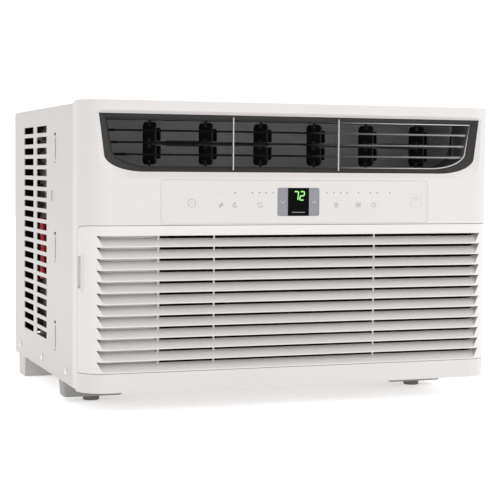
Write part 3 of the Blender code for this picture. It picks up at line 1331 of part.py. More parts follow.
# ---- electrics ----------------------------------------------------------------------
def make_electrics():
    left = CONTROL_BOX_LEFT
    right = left + CONTROL_BOX_WIDTH
    low = CONTROL_BOX_BOTTOM
    high = CONTROL_BOX_TOP
    y0 = from_front(CONTROL_BOX_FRONT)
    y1 = y0 + CONTROL_BOX_DEPTH
    wall = SHEET
    bm = bmesh.new()
    box(bm, left, right, y0, y1, up(low), up(high))
    tub = piece("control_box", bm, GREY_STEEL)
    inside = bmesh.new()
    box(inside, left - wall, right - wall, y0 + wall, y1 - wall, up(low) + wall, up(high) - wall)
    cut(tub, inside)
    box_piece("control_box_cover", GREY_STEEL, left - GAP - wall, left - GAP, y0, y1, up(low), up(high))
    board_right = right - MAIN_BOARD_MARGIN
    box_piece("main_board", BOARD_GREEN, board_right - BOARD_THICKNESS, board_right,
              y0 + MAIN_BOARD_MARGIN, y1 - MAIN_BOARD_MARGIN,
              up(MAIN_BOARD_BOTTOM), up(high) - 2 * MAIN_BOARD_MARGIN)
    bm = bmesh.new()
    middle_x = (left + right) / 2
    middle_y = (y0 + y1) / 2
    foot = up(low) + wall + GAP
    rod(bm, (middle_x, middle_y, foot), (middle_x, middle_y, foot + CAPACITOR_HEIGHT),
        CAPACITOR_RADIUS, 24)
    piece("run_capacitor", bm, ALUMINIUM)
    bm = bmesh.new()
    bushing_y, bushing_z = bushing_spot()
    rod(bm, (CABINET_HALF + SHEET / 2 - BUSHING_THICKNESS, bushing_y, bushing_z),
        (CABINET_HALF + SHEET / 2, bushing_y, bushing_z), BUSHING_RADIUS, 24)
    piece("cord_bushing", bm, RUBBER)


make_cabinet()
make_pan()
make_feet()
make_front_frame()
make_grille()
make_filter()
make_bezel()
make_louvers()
make_louver_link()
make_vanes()
make_vane_links()
make_controls()
make_cold_side()
make_drive()
make_fan()
make_compressor()
make_lines()
make_electrics()
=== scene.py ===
# %% [markdown]
# # A window air conditioner in a white studio
# This lesson dresses a finished CAD model.  The model arrives as a frame of fixed pieces that
# already have the right size and move the right way.  We keep the pieces whose shape is right,
# build finer ones where the eye looks closely, and give every surface a finish made of nodes.

# %% Load the frame
import math

import bmesh
import bpy
from mathutils import Matrix, Vector


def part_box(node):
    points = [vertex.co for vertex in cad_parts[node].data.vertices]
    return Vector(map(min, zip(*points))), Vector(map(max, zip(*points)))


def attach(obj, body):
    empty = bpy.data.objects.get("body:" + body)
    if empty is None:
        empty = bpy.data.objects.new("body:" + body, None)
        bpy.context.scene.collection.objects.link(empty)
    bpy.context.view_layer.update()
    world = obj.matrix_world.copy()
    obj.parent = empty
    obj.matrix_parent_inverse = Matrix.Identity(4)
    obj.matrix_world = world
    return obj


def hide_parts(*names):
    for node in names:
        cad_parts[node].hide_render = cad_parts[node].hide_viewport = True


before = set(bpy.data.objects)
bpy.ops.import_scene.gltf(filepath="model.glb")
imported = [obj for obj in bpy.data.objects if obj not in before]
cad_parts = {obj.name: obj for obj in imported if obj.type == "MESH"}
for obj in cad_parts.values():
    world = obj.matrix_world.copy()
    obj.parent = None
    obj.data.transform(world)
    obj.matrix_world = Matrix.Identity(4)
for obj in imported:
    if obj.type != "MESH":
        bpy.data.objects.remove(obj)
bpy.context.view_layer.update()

# %% [markdown]
# A maker measures such a product from the lower edge of its front, in millimetres.  We do the
# same: every shape below is drawn in that frame, and one matrix carries it to the model's
# metres.  The few overall sizes are read from the CAD pieces, so that both always agree.

# %% Measure the product
MM = 0.001
shell_low, shell_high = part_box("front_frame")
TO_MODEL = Matrix.Translation((0, shell_low.y, shell_low.z)) @ Matrix.Scale(MM, 4)


def measured(node):
    """Lowest and highest corner of a CAD piece, in millimetres from the front's lower edge."""
    return [TO_MODEL.inverted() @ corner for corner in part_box(node)]


HALF = measured("front_frame")[1].x
SEAM = measured("front_frame")[1].y
TOP = measured("front_frame")[1].z
BACK = measured("outer_cabinet")[1].y
GROUND = shell_low.z / MM
print(f"front {2 * HALF:.0f} x {TOP:.0f} mm, {BACK:.0f} mm deep, {GROUND:.0f} mm off the floor")

# %% [markdown]
# The camera stands a little left of the front, at the height of the controls, with a long
# lens so that upright edges stay upright.  A camera looks along its own -Z, so its matrix is
# built from the view direction and a slight roll.

# %% Camera
SIDEWAYS = math.radians(19.916)
DOWNWARDS = math.radians(3.251)
ROLL = math.radians(-0.451)
FOCAL_MM = 103.77
EYE = Vector((-570.8, -1425.0, 231.5))

ahead = Vector((math.sin(SIDEWAYS) * math.cos(DOWNWARDS),
                math.cos(SIDEWAYS) * math.cos(DOWNWARDS), -math.sin(DOWNWARDS)))
level = Vector((math.cos(SIDEWAYS), -math.sin(SIDEWAYS), 0))
upward = level.cross(ahead)
right = math.cos(ROLL) * level - math.sin(ROLL) * upward
above = math.sin(ROLL) * level + math.cos(ROLL) * upward

camera = bpy.data.objects.new("camera", bpy.data.cameras.new("camera"))
bpy.context.scene.collection.objects.link(camera)
camera.matrix_world = Matrix.Translation(TO_MODEL @ EYE) @ Matrix(
    (right, above, -ahead)).transposed().to_4x4()
camera.data.lens = FOCAL_MM
camera.data.clip_end = 50
bpy.context.scene.camera = camera
print("camera at", [round(value, 3) for value in camera.location])

# %% [markdown]
# Nodes are easier to read as sums than as boxes and wires.  `Signal` wraps one output socket,
# and Python's own operators add the Math nodes.  Colours would turn grey in a Math node, so
# they are mixed by `blend`, and every other node comes from the one method `node`.

# %% Shader sums
class Signal:
    """One output of a node; arithmetic on it adds nodes."""

    def __init__(self, tree, socket=None):
        self.tree = tree
        self.socket = socket

    def node(self, kind, settings=None, inputs=None, output=0):
        made = self.tree.nodes.new(kind)
        for name, value in (settings or {}).items():
            if name == "stops":
                ramp = made.color_ramp.elements
                while len(ramp) < len(value):
                    ramp.new(1.0)
                for element, (position, colour) in zip(ramp, value):
                    element.position = position
                    element.color = (*colour, 1)
            else:
                setattr(made, name, value)
        for name, value in (inputs or {}).items():
            if isinstance(value, Signal):
                self.tree.links.new(value.socket, made.inputs[name])
            else:
                made.inputs[name].default_value = value
        return Signal(self.tree, made.outputs[output])

    def math(self, operation, *values):
        return self.node("ShaderNodeMath", {"operation": operation}, dict(enumerate(values)))

    def __add__(self, other):
        return self.math("ADD", self, other)

    def __radd__(self, other):
        return self.math("ADD", other, self)

    def __sub__(self, other):
        return self.math("SUBTRACT", self, other)

    def __rsub__(self, other):
        return self.math("SUBTRACT", other, self)

    def __mul__(self, other):
        return self.math("MULTIPLY", self, other)

    def __rmul__(self, other):
        return self.math("MULTIPLY", other, self)

    def __gt__(self, other):
        return self.math("GREATER_THAN", self, other)

    def clamped(self):
        return self.math("MINIMUM", self.math("MAXIMUM", self, 0.0), 1.0)

    def blend(self, low, high):
        """The colour low where this is 0 and high where it is 1."""
        return self.node("ShaderNodeMix", {"data_type": "RGBA"},
                         {0: self, 6: (*low, 1), 7: (*high, 1)}, output=2)


# %% [markdown]
# A finish is one Principled material.  Numbers that are the same all over go straight on the
# shader's sockets.  What varies is wired in, and the patterns are measured in metres on the
# piece itself, so that they keep their scale and ride along when the piece moves.

# %% A finish
class Finish:
    """A Principled material with patterns in the piece's own space."""

    def __init__(self, name, colour, roughness=0.5, **sockets):
        self.material = bpy.data.materials.new(name)
        self.material.use_nodes = True
        self.tree = self.material.node_tree
        self.shader = self.tree.nodes["Principled BSDF"]
        self.shader.inputs["Base Color"].default_value = (*colour, 1)
        self.shader.inputs["Roughness"].default_value = roughness
        self.colour = colour
        for key, value in sockets.items():
            socket = key.replace("_", " ").title().replace("Ior", "IOR")
            self.shader.inputs[socket].default_value = value
        self.spot = Signal(self.tree).node("ShaderNodeTexCoord", output="Object")

    def stretched(self, stretch):
        return self.spot.node("ShaderNodeVectorMath", {"operation": "MULTIPLY"},
                              {0: self.spot, 1: stretch})

    def noise(self, scale, detail=2.0, stretch=(1, 1, 1)):
        return self.spot.node("ShaderNodeTexNoise", None, {
            "Vector": self.stretched(stretch), "Scale": scale, "Detail": detail})

    def cells(self, scale, feature="F1"):
        return self.spot.node("ShaderNodeTexVoronoi", {"feature": feature},
                              {"Vector": self.spot, "Scale": scale})

    def wire(self, socket, signal):
        self.tree.links.new(signal.socket, self.shader.inputs[socket])
        return self

    def bump(self, height, distance, strength=1.0):
        return self.wire("Normal", height.node("ShaderNodeBump", None, {
            "Height": height, "Distance": distance * MM, "Strength": strength}))

    def tones(self, signal, darker=0.94, lighter=1.04):
        """Let the colour wander between a darker and a lighter tone of itself."""
        low = [value * darker for value in self.colour]
        high = [min(value * lighter, 1) for value in self.colour]
        return self.wire("Base Color", signal.blend(low, high))


# %% [markdown]
# The front is moulded in warm white ABS from a spark-eroded tool, which leaves a fine even
# grain.  The cabinet is sheet steel with powder coat, whose melted grains flow into the long
# waves called orange peel.  Both are a noise at the right scale, one short and one long.

# %% White finishes
def moulded(name, colour, roughness=0.42, grain=2600, depth=0.02, **sockets):
    """Injection-moulded plastic with a fine spark grain."""
    made = Finish(name, colour, roughness, **sockets)
    grains = made.noise(grain, 1.0)
    flow = made.noise(9, 3.0)
    made.tones(flow * 0.7 + grains * 0.3, 0.97, 1.025)
    made.wire("Roughness", roughness - 0.06 + grains * 0.12)
    return made.bump(grains, depth)


def powder_coat(name, colour, roughness=0.4, **sockets):
    made = Finish(name, colour, roughness, **sockets)
    peel = made.noise(520, 1.0)
    dust = made.noise(5200, 0.0)
    made.tones(made.noise(7, 3.0), 0.97, 1.02)
    made.wire("Roughness", roughness - 0.05 + peel * 0.12)
    return made.bump(peel + dust * 0.12, 0.05)


front_plastic = moulded("front_plastic", (0.535, 0.512, 0.498))
# The grille's plastic is the front plastic made about 8% lighter: painted light that brightens the slats, which
# lie in one another's shade.
grille_plastic_painted_light = moulded("grille_plastic_painted_light", (0.580, 0.556, 0.541))
cabinet_paint = powder_coat("cabinet_paint", (0.452, 0.428, 0.415))
pan_paint = powder_coat("pan_paint", (0.45, 0.43, 0.42), 0.45)
foot_plastic = moulded("foot_plastic", (0.27, 0.265, 0.26), 0.6)
print("white finishes ready")

# %% [markdown]
# The outlet is a shade of charcoal with little gleam, and the parts one may touch in it are
# black.  The thin bead round its inner lip and the louvres carry a painted highlight: their
# colour passes from dark at their left end to pale at their right, as if lit from that side.
# Only the two upright trims are metallic.

# %% Dark finishes
bezel_plastic = moulded("bezel_plastic", (0.030, 0.029, 0.029), 0.5, depth=0.012,
                        specular_ior_level=0.15)
sleeve_plastic = moulded("sleeve_plastic", (0.11, 0.11, 0.11), 0.65, depth=0.012,
                         specular_ior_level=0.2)
black_plastic = moulded("black_plastic", (0.008, 0.008, 0.008), 0.42, depth=0.012,
                        specular_ior_level=0.2)
louver_plastic = moulded("louver_plastic", (0.010, 0.010, 0.010), 0.5, depth=0.008,
                         specular_ior_level=0.0)
bead_painted_highlight = Finish("bead_painted_highlight", (0.30, 0.30, 0.30), 0.35, specular_ior_level=0.05)
upright_metal = Finish("upright_metal", (0.42, 0.42, 0.41), 0.4, metallic=0.6)
upright_metal.tones(upright_metal.noise(80, 2.0), 0.85, 1.1)
bead_painted_highlight.bump(bead_painted_highlight.noise(300, 1.0), 0.01)
# The bead's colour is a painted highlight: near black at its left end and pale grey towards its right, as if lit
# from that side.
across = bead_painted_highlight.spot.node("ShaderNodeSeparateXYZ", None, {"Vector": bead_painted_highlight.spot})
bead_highlight_ramp = (across * 9 - 0.3).clamped()
bead_painted_highlight.wire("Base Color", bead_highlight_ramp.blend((0.03, 0.03, 0.03), (0.52, 0.52, 0.51)))
# The louvres' colour is a painted highlight: near black at their left end and pale grey towards their right, as
# if lit from that side.
tips = louver_plastic.spot.node("ShaderNodeSeparateXYZ", None, {"Vector": louver_plastic.spot})
louver_highlight_ramp = (tips * 6 - 0.1).clamped()
louver_plastic.wire("Base Color", louver_highlight_ramp.blend((0.006, 0.006, 0.006), (0.26, 0.26, 0.25)))
rubber = Finish("rubber", (0.028, 0.028, 0.03), 0.8)
rubber.tones(rubber.noise(40, 4.0), 0.8, 1.3).bump(rubber.noise(1500, 3.0), 0.06)
grey_rubber = moulded("grey_rubber", (0.14, 0.14, 0.135), 0.8, grain=1500, depth=0.05)
print("dark finishes ready")

# %% [markdown]
# Metals differ by how they were made.  Zinc freezes in large flat crystals, so galvanised
# sheet is a Voronoi pattern in roughness and tone.  Drawn and turned metal has fine lines,
# which are a noise stretched hard along one direction.  Coated fins have lost their gleam, so
# they are made like a moulding.  So is the copper, made nearly black: painted shade that keeps
# the view into the works dark.

# %% Metal finishes
def lined(name, colour, roughness, stretch, **sockets):
    """Metal with fine lines along the short axis of the stretch."""
    made = Finish(name, colour, roughness, metallic=1.0, **sockets)
    lines = made.noise(900, 2.0, stretch)
    made.tones(lines, 0.86, 1.06)
    made.wire("Roughness", roughness - 0.08 + lines * 0.18)
    return made.bump(lines, 0.012)


zinc_sheet = Finish("zinc_sheet", (0.52, 0.53, 0.54), 0.42, metallic=0.9)
spangle = zinc_sheet.cells(140)
zinc_sheet.tones(spangle * 2.2, 0.8, 1.12).wire("Roughness", 0.34 + spangle * 0.35)
fin_metal = moulded("fin_metal", (0.34, 0.35, 0.36), 0.5, grain=1500, depth=0.01)
# The copper is nearly black: painted shade that keeps the view through the slots dark.
copper_painted_shade = moulded("copper_painted_shade", (0.035, 0.024, 0.020), 0.6, grain=700, depth=0.03)
turned_steel = lined("turned_steel", (0.50, 0.50, 0.51), 0.3, (0.05, 1, 0.05))
can_metal = lined("can_metal", (0.70, 0.70, 0.72), 0.32, (1, 1, 0.08))
print("metal finishes ready")

# %% [markdown]
# Inside, the compressor has thick gloss enamel, the air path is white bead foam, and the
# boards carry green solder mask.  Bead foam is packed cells, so the Voronoi distance makes
# its pillows.  The filter's threads are soft dull plastic.

# %% Inner finishes
enamel = Finish("enamel", (0.016, 0.016, 0.018), 0.22, coat_weight=0.6)
enamel.tones(enamel.noise(30, 3.0), 0.7, 1.4).bump(enamel.noise(260, 1.0), 0.06)
red_plastic = moulded("red_plastic", (0.50, 0.022, 0.026), 0.35)
# The filter's net and frame are nearly black: painted shade that keeps the gaps between the grille's slats dark.
filter_plastic_painted_shade = moulded("filter_plastic_painted_shade", (0.008, 0.008, 0.008), 0.8, specular_ior_level=0.1)
# The evaporator's aluminium fins are made nearly black: painted shade that keeps the gaps of the intake grille
# dark.
evaporator_fin_painted_shade = moulded("evaporator_fin_painted_shade", (0.02, 0.022, 0.024), 0.7, specular_ior_level=0.2)
# Black sheets stand where the real unit is only dark inside: behind the filter net, behind the side tabs and
# beside the coil.  Their colour is painted shade.
shade_sheet = moulded("shade_sheet", (0.006, 0.006, 0.006), 0.95, grain=1200, depth=0.1, specular_ior_level=0.05)
foam = Finish("foam", (0.70, 0.70, 0.68), 0.8)
beads = foam.cells(330)
# Each bead's tone darkens towards its edge: painted shade in the creases between the beads.
foam.tones(beads * 1.6, 1.02, 0.86).bump(1 - beads * 1.5, 0.25)
board_green = Finish("board_green", (0.015, 0.13, 0.055), 0.4)
tracks = board_green.cells(260, "DISTANCE_TO_EDGE") > 0.06
board_green.wire("Base Color", tracks.blend((0.03, 0.22, 0.10), (0.012, 0.11, 0.045)))
board_green.bump(tracks, 0.02)
duct_foam = moulded("duct_foam", (0.44, 0.44, 0.44), 0.8, grain=900, depth=0.05)
print("inner finishes ready")

# %% [markdown]
# The control strip is a printed film: smoother than the moulding round it, with ink that
# barely stands up.  The display is a dark window over lit segments, so its digits and the
# one lamp that is on give off light of their own.

# %% Control finishes
film = Finish("film", (0.525, 0.502, 0.488), 0.38, coat_weight=0.1)
film.tones(film.noise(12, 2.0), 0.985, 1.01).bump(film.noise(1800, 1.0), 0.006)
temperature_film = moulded("temperature_film", (0.185, 0.185, 0.205), 0.45, depth=0.008)
window_gloss = Finish("window_gloss", (0.004, 0.005, 0.004), 0.2, specular_ior_level=0.0)
window_gloss.wire("Roughness", 0.15 + window_gloss.noise(400, 2.0) * 0.1)
pale_ink = Finish("pale_ink", (0.20, 0.20, 0.21), 0.5)
pale_ink.tones(pale_ink.noise(900, 2.0), 0.85, 1.2)


def lamp(name, colour, strength):
    """Something lit from within, a little uneven like a real lamp."""
    made = Finish(name, colour, 0.3, emission_strength=strength)
    uneven = made.noise(700, 1.0)
    dimmer = [value * 0.8 for value in colour]
    return made.wire("Emission Color", uneven.blend(dimmer, colour))


digit_light = lamp("digit_light", (0.20, 0.52, 0.13), 0.8)
gold_light = lamp("gold_light", (0.42, 0.30, 0.10), 0.35)
dark_lamp = Finish("dark_lamp", (0.07, 0.07, 0.07), 0.35)
dark_lamp.tones(dark_lamp.noise(500, 1.0))
print("control finishes ready")

# %% [markdown]
# Every mesh here grows from outlines.  An arc and a rounded rectangle draw them, and `skin`
# stretches faces over a row of equal outlines and closes both ends.  Prisms, rods, tubes and
# turned parts are all skins, so one routine has to be right and the rest follows.

# %% Outlines and skins
def arc(centre_a, centre_b, radius_a, radius_b, start, end, steps):
    """Points on an arc, with its angles in degrees."""
    turns = [math.radians(start + (end - start) * step / steps) for step in range(steps + 1)]
    return [(centre_a + radius_a * math.cos(turn), centre_b + radius_b * math.sin(turn))
            for turn in turns]


def rounded(low_a, high_a, low_b, high_b, radius, steps=6):
    """A rectangle with round corners."""
    points = []
    for a, b, start in ((high_a - radius, high_b - radius, 0), (low_a + radius, high_b - radius, 90),
                        (low_a + radius, low_b + radius, 180), (high_a - radius, low_b + radius, 270)):
        points += arc(a, b, radius, radius, start, start + 90, steps)
    return points


def skin(bm, rings, loop=False):
    """Faces over a row of equal outlines; loop joins the last to the first."""
    rows = [[bm.verts.new(point) for point in ring] for ring in rings]
    pairs = list(zip(rows, rows[1:] + rows[:1])) if loop else list(zip(rows, rows[1:]))
    for one, two in pairs:
        for index in range(len(one)):
            after = (index + 1) % len(one)
            bm.faces.new((one[index], one[after], two[after], two[index]))
    if not loop:
        bm.faces.new(rows[0][::-1])
        bm.faces.new(rows[-1])


def prism(bm, outline, axis, low, high):
    """An outline drawn out along X, Y or Z; its points skip that axis."""
    spot = {"X": lambda a, b, c: (c, a, b), "Y": lambda a, b, c: (a, c, b),
            "Z": lambda a, b, c: (a, b, c)}[axis]
    skin(bm, [[spot(a, b, level) for a, b in outline] for level in (low, high)])


def tube(bm, path, radius, sides=10, loop=False):
    """A round wire along a path."""
    path = [Vector(point) for point in path]
    count = len(path)
    rings = []
    normal = None
    for index, point in enumerate(path):
        before = path[index - 1] if loop or index else point
        after = path[(index + 1) % count] if loop or index < count - 1 else point
        along = (after - before).normalized()
        if normal is None:
            guess = Vector((0, 0, 1)) if abs(along.z) < 0.9 else Vector((0, 1, 0))
            normal = along.cross(guess).normalized()
        normal = (normal - along * normal.dot(along)).normalized()
        side = along.cross(normal)
        rings.append([point + radius * (math.cos(2 * math.pi * step / sides) * normal
                                        + math.sin(2 * math.pi * step / sides) * side)
                      for step in range(sides)])
    skin(bm, rings, loop)


def turned(bm, profile, foot, axis=(0, 0, 1), sides=40):
    """A turned solid: (radius, height) points from the foot along the axis."""
    axis = Vector(axis).normalized()
    side = axis.orthogonal().normalized()
    other = axis.cross(side)
    foot = Vector(foot)
    skin(bm, [[foot + axis * height + radius * (math.cos(2 * math.pi * step / sides) * side
                                               + math.sin(2 * math.pi * step / sides) * other)
               for step in range(sides)] for radius, height in profile])


def block(bm, x0, x1, y0, y1, z0, z1):
    prism(bm, [(x0, y0), (x1, y0), (x1, y1), (x0, y1)], "Z", z0, z1)


# %% [markdown]
# Drawing in millimetres ends in `solid`, which carries a mesh to the model's metres.  `carve`
# cuts, joins or crops it with another solid and keeps only the result.  `complete` gives the
# piece its finish and its body, and says which CAD pieces it stands for.

# %% From mesh to piece
def solid(bm, name="tool"):
    bmesh.ops.recalc_face_normals(bm, faces=bm.faces)
    bm.transform(TO_MODEL)
    mesh = bpy.data.meshes.new(name)
    bm.to_mesh(mesh)
    bm.free()
    obj = bpy.data.objects.new(name, mesh)
    bpy.context.scene.collection.objects.link(obj)
    return obj


def carve(obj, bm, operation="DIFFERENCE"):
    tool = bm if isinstance(bm, bpy.types.Object) else solid(bm)
    step = obj.modifiers.new("carve", "BOOLEAN")
    step.operation = operation
    step.solver = "EXACT"
    step.object = tool
    worked = bpy.data.meshes.new_from_object(obj.evaluated_get(bpy.context.evaluated_depsgraph_get()))
    obj.modifiers.clear()
    obj.data = worked
    bpy.data.objects.remove(tool)
    return obj


def complete(obj, finish, body, stands_for=(), bevel=0.0, smooth=32):
    """Finish, smooth and attach a piece; bevel is in millimetres."""
    obj.data.materials.clear()
    obj.data.materials.append(finish.material)
    obj.data.shade_smooth()
    if bevel:
        rounding = obj.modifiers.new("rounding", "BEVEL")
        rounding.width = bevel * MM
        rounding.segments = 2
        rounding.limit_method = "ANGLE"
        rounding.angle_limit = math.radians(smooth)
    else:
        obj.data.set_sharp_from_angle(angle=math.radians(smooth))
    even = obj.modifiers.new("even", "WEIGHTED_NORMAL")
    even.keep_sharp = True
    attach(obj, body)
    if stands_for:
        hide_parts(*stands_for)
    return obj


# %% [markdown]
# The front frame is one moulding: a box with round upright corners and soft top and bottom
# edges.  It is drawn from above, extruded and bevelled, then hollowed like the real shell.
# The outlet needs its outline first, because the frame, the bezel and the flare all share it.

# %% Outlines of the front
CORNER = 28
WALL = 2.5
OUTLET_TOP, OUTLET_BOTTOM, OUTLET_HALF, OUTLET_LEAN = 286.5, 227, 217, 5.5
OUTLET_CORNER = (42, 18)
LIP_SIDE, LIP_LOW = 9, 5.5
GRILLE_LOW, GRILLE_TOP, GRILLE_WRAP = 19.7, 172, 23


def plan(half, front, back, radius, steps=20):
    """The front seen from above, with its two round corners."""
    left = arc(-half + radius, front + radius, radius, radius, 180, 270, steps)
    other = arc(half - radius, front + radius, radius, radius, 270, 360, steps)
    return [(-half, back), *left, *other, (half, back)]


def outlet(side=0.0, low=0.0, top=0.0, steps=20):
    """The outlet seen from the front, drawn in by the given amounts."""
    half = OUTLET_HALF - side
    foot = half - OUTLET_LEAN
    corner = OUTLET_BOTTOM + low + OUTLET_CORNER[1]
    middle = foot - OUTLET_CORNER[0]
    left = arc(-middle, corner, *OUTLET_CORNER, 180, 270, steps)
    other = arc(middle, corner, *OUTLET_CORNER, 270, 360, steps)
    return [(-half, OUTLET_TOP - top), *left, *other, (half, OUTLET_TOP - top)]


def inner_outlet(grow=0.0):
    return outlet(LIP_SIDE - grow, LIP_LOW - grow, LIP_LOW - grow)


def grille_side(clearance):
    """The grille seen from the side: it swings out about its lower front edge."""
    reach = GRILLE_TOP - GRILLE_LOW - 0.5 + clearance
    back = GRILLE_WRAP + clearance - 0.5
    low = GRILLE_LOW + 0.5 - clearance
    round_back = arc(back - 5, GRILLE_LOW + math.sqrt(reach ** 2 - back ** 2) - 5, 5, 5, 0, 80, 6)
    start = math.degrees(math.acos((back - 5) / reach))
    over = arc(0, GRILLE_LOW, reach, reach, start, 90, 8)
    return [(0, low), (back, low), *round_back, *over]


print("outlet", len(outlet()), "points round")

# %% Front frame
frame_mesh = bmesh.new()
prism(frame_mesh, plan(HALF, 0, SEAM, CORNER), "Z", 0, TOP)
rims = [edge for edge in frame_mesh.edges
        if abs(edge.verts[0].co.z - edge.verts[1].co.z) < 0.1
        and min(vert.co.y for vert in edge.verts) < SEAM - 0.1]
bmesh.ops.bevel(frame_mesh, geom=rims, offset=4, segments=5, profile=0.5, affect="EDGES")
shell = solid(frame_mesh, "frame_shell")

hollow = bmesh.new()
prism(hollow, plan(HALF - WALL, WALL, SEAM + WALL, CORNER - WALL), "Z", WALL, TOP - WALL)
carve(shell, hollow)
opening = bmesh.new()
side_view = grille_side(0.5)
prism(opening, [(-9, side_view[0][1]), *side_view[1:], (-9, side_view[-1][1])], "X", -300, 300)
carve(shell, opening)

collar = bmesh.new()
prism(collar, outlet(-8, -8, -8), "Y", WALL / 2, 11)
collar = solid(collar, "collar")
limits = bmesh.new()
prism(limits, plan(HALF - 0.3, 0.3, SEAM, CORNER), "Z", WALL, TOP - WALL / 2)
carve(collar, limits, "INTERSECT")
carve(shell, collar, "UNION")
print("frame shell has", len(shell.data.polygons), "faces")

# %% [markdown]
# Round the outlet the front dips in a soft flare that catches the light as a bright band.
# A straight chamfer would look cut with a knife, so the cutter is a skin of several outlines
# whose size and depth follow a gentle curve.

# %% Outlet flare and control pocket
FLARE = (11, 8, 3.6)            # how wide at the sides, below and above
FLARE_CURVE = ((1.25, -0.6), (1.0, -0.02), (0.93, 0.06), (0.8, 0.45), (0.6, 1.25), (0.38, 2.3),
               (0.18, 3.3), (0.0, 4.0), (0.0, 16.0))
flare = bmesh.new()
skin(flare, [[(x, depth, z) for x, z in outlet(*[-share * size for size in FLARE])]
             for share, depth in FLARE_CURVE])
carve(shell, flare)

OVERLAY = (-152.5, 152.5, 173, 219)
pocket = bmesh.new()
prism(pocket, rounded(*OVERLAY, 3), "Y", -3, 1.5)
carve(shell, pocket)
complete(shell, front_plastic, "cabinet", ["front_frame"])

blank = bmesh.new()
block(blank, -HALF + 21, -150, 11, 13.5, 2, 172)
blank = solid(blank, "blank_wall")
stiffeners = bmesh.new()
for x in (-195, -172):
    block(stiffeners, x - 1, x + 1, 13, 17, 6, 168)
carve(blank, stiffeners, "UNION")
complete(blank, front_plastic, "cabinet", bevel=0.3)
backing = bmesh.new()
block(backing, -HALF + 3, -HALF + 7, GRILLE_WRAP - 10, GRILLE_WRAP + 7, 104, 143)
complete(solid(backing, "finger_backing"), front_plastic, "cabinet", bevel=0.3)
print("flare, pocket and blank wall made")

# %% [markdown]
# The intake grille has thirteen slats that start at an upright lip and lean back as they
# rise, so that one sees paint and not filter from standing height.  It is easier to cut the
# air than to build the slats: each cutter is one gap seen from the side, with slanted ends,
# a tiny chamfer where it meets the front, and a slightly hollow slat face.

# %% Intake grille
SLOTS, PITCH, FIRST_LIP, LIP = 12, 11.75, 20.9, 1.3
SLAT_FACE = ((3, 2.2), (6, 4.7), (9, 7.3), (18, 15.2))
SLAT_THICKNESS = 2.9
SLOT_HALF, SLOT_SLANT = 219, 6
GRILLE_DEPTH = 9
SOFT_EDGE = 0.25


def air_gap(bm, lip):
    low = lip + LIP / 2
    high = low + PITCH - LIP
    under = low + PITCH - SLAT_THICKNESS
    knee = 3 * (high - under) / SLAT_FACE[0][1]
    ring = [(-0.3, low - 0.3 - SOFT_EDGE), (-0.3, high + 0.3 + SOFT_EDGE), (SOFT_EDGE, high),
            (knee, high)]
    ring += [(depth, under + rise) for depth, rise in SLAT_FACE]
    ring += [(depth, low + rise) for depth, rise in reversed(SLAT_FACE)]
    ring.append((SOFT_EDGE, low))
    ends = [SLOT_HALF - SLOT_SLANT * (high - z) / (high - low) for _, z in ring]
    skin(bm, [[(side * end, y, z) for end, (y, z) in zip(ends, ring)] for side in (-1, 1)])


grille_mesh = bmesh.new()
prism(grille_mesh, plan(HALF, 0, SEAM, CORNER), "Z", 0, GRILLE_TOP + 3)
grille = solid(grille_mesh, "slatted_grille")
hollow = bmesh.new()
prism(hollow, plan(HALF - WALL, GRILLE_DEPTH, SEAM + WALL, CORNER - WALL), "Z", -5, 200)
carve(grille, hollow)
profile = bmesh.new()
side_view = grille_side(0)
prism(profile, [(-0.3, side_view[0][1]), *side_view[1:-1], (-0.3, side_view[-1][1])], "X", -300, 300)
carve(grille, profile, "INTERSECT")
gaps = bmesh.new()
for row in range(SLOTS):
    air_gap(gaps, FIRST_LIP + row * PITCH)
carve(grille, gaps)

stays = bmesh.new()
for x in (-153, -92, 92):
    block(stays, x - 0.8, x + 0.8, 7.2, 8.7, FIRST_LIP - 1, FIRST_LIP + SLOTS * PITCH + 4)
carve(grille, stays, "UNION")
finger = bmesh.new()
prism(finger, rounded(GRILLE_WRAP - 8, GRILLE_WRAP + 20, 107, 140, 3), "X", -300, -HALF + 7.5)
carve(grille, finger)
complete(grille, grille_plastic_painted_light, "grille", ["intake_grille"])
print("grille has", len(grille.data.polygons), "faces")

# %% [markdown]
# Behind the slats sits the washable filter, a frame with a fine net.  A flat sheet with a
# see-through pattern would shimmer and export badly, so the threads are real: thin bars both
# ways, one set a thread's width behind the other.

# %% Air filter
net_low, net_high = measured("air_filter")
THREAD_PITCH = 3.2
filter_frame = bmesh.new()
skin(filter_frame, [[(x, y, z) for x, z in rounded(
    net_low.x + inset, net_high.x - inset, net_low.z + inset, net_high.z - inset, radius)]
    for inset, radius, y in ((0, 3, net_low.y), (0, 3, net_high.y), (6, 1.5, net_high.y),
                             (6, 1.5, net_low.y))], loop=True)
screen = solid(filter_frame, "filter_frame")
bars = bmesh.new()
for index in range(1, 5):
    x = net_low.x + (net_high.x - net_low.x) * index / 5
    block(bars, x - 2, x + 2, net_low.y + 0.4, net_high.y - 0.4, net_low.z + 3, net_high.z - 3)
carve(screen, bars, "UNION")
complete(screen, filter_plastic_painted_shade, "filter", ["air_filter"], bevel=0.3)


def strands(bm, low, high, other_low, other_high, depth, upright):
    count = round((high - low) / THREAD_PITCH)
    for index in range(1, count):
        at = low + (high - low) * index / count
        spans = ((at - 0.22, at + 0.22), (other_low, other_high))
        (x0, x1), (z0, z1) = spans if upright else spans[::-1]
        block(bm, x0, x1, depth, depth + 0.4, z0, z1)


net = bmesh.new()
middle = (net_low.y + net_high.y) / 2
strands(net, net_low.x + 5, net_high.x - 5, net_low.z + 5, net_high.z - 5, middle, True)
strands(net, net_low.z + 5, net_high.z - 5, net_low.x + 5, net_high.x - 5, middle + 0.45, False)
complete(solid(net, "filter_net"), filter_plastic_painted_shade, "filter")
# A black sheet behind the net is painted shade: it keeps the view through the grille dark.
shade_backing = bmesh.new()
block(shade_backing, net_low.x + 4, net_high.x - 4, middle + 1.05, middle + 1.5, net_low.z + 4, net_high.z - 4)
complete(solid(shade_backing, "filter_shade_backing"), shade_sheet, "filter")
print("filter net and fleece made")
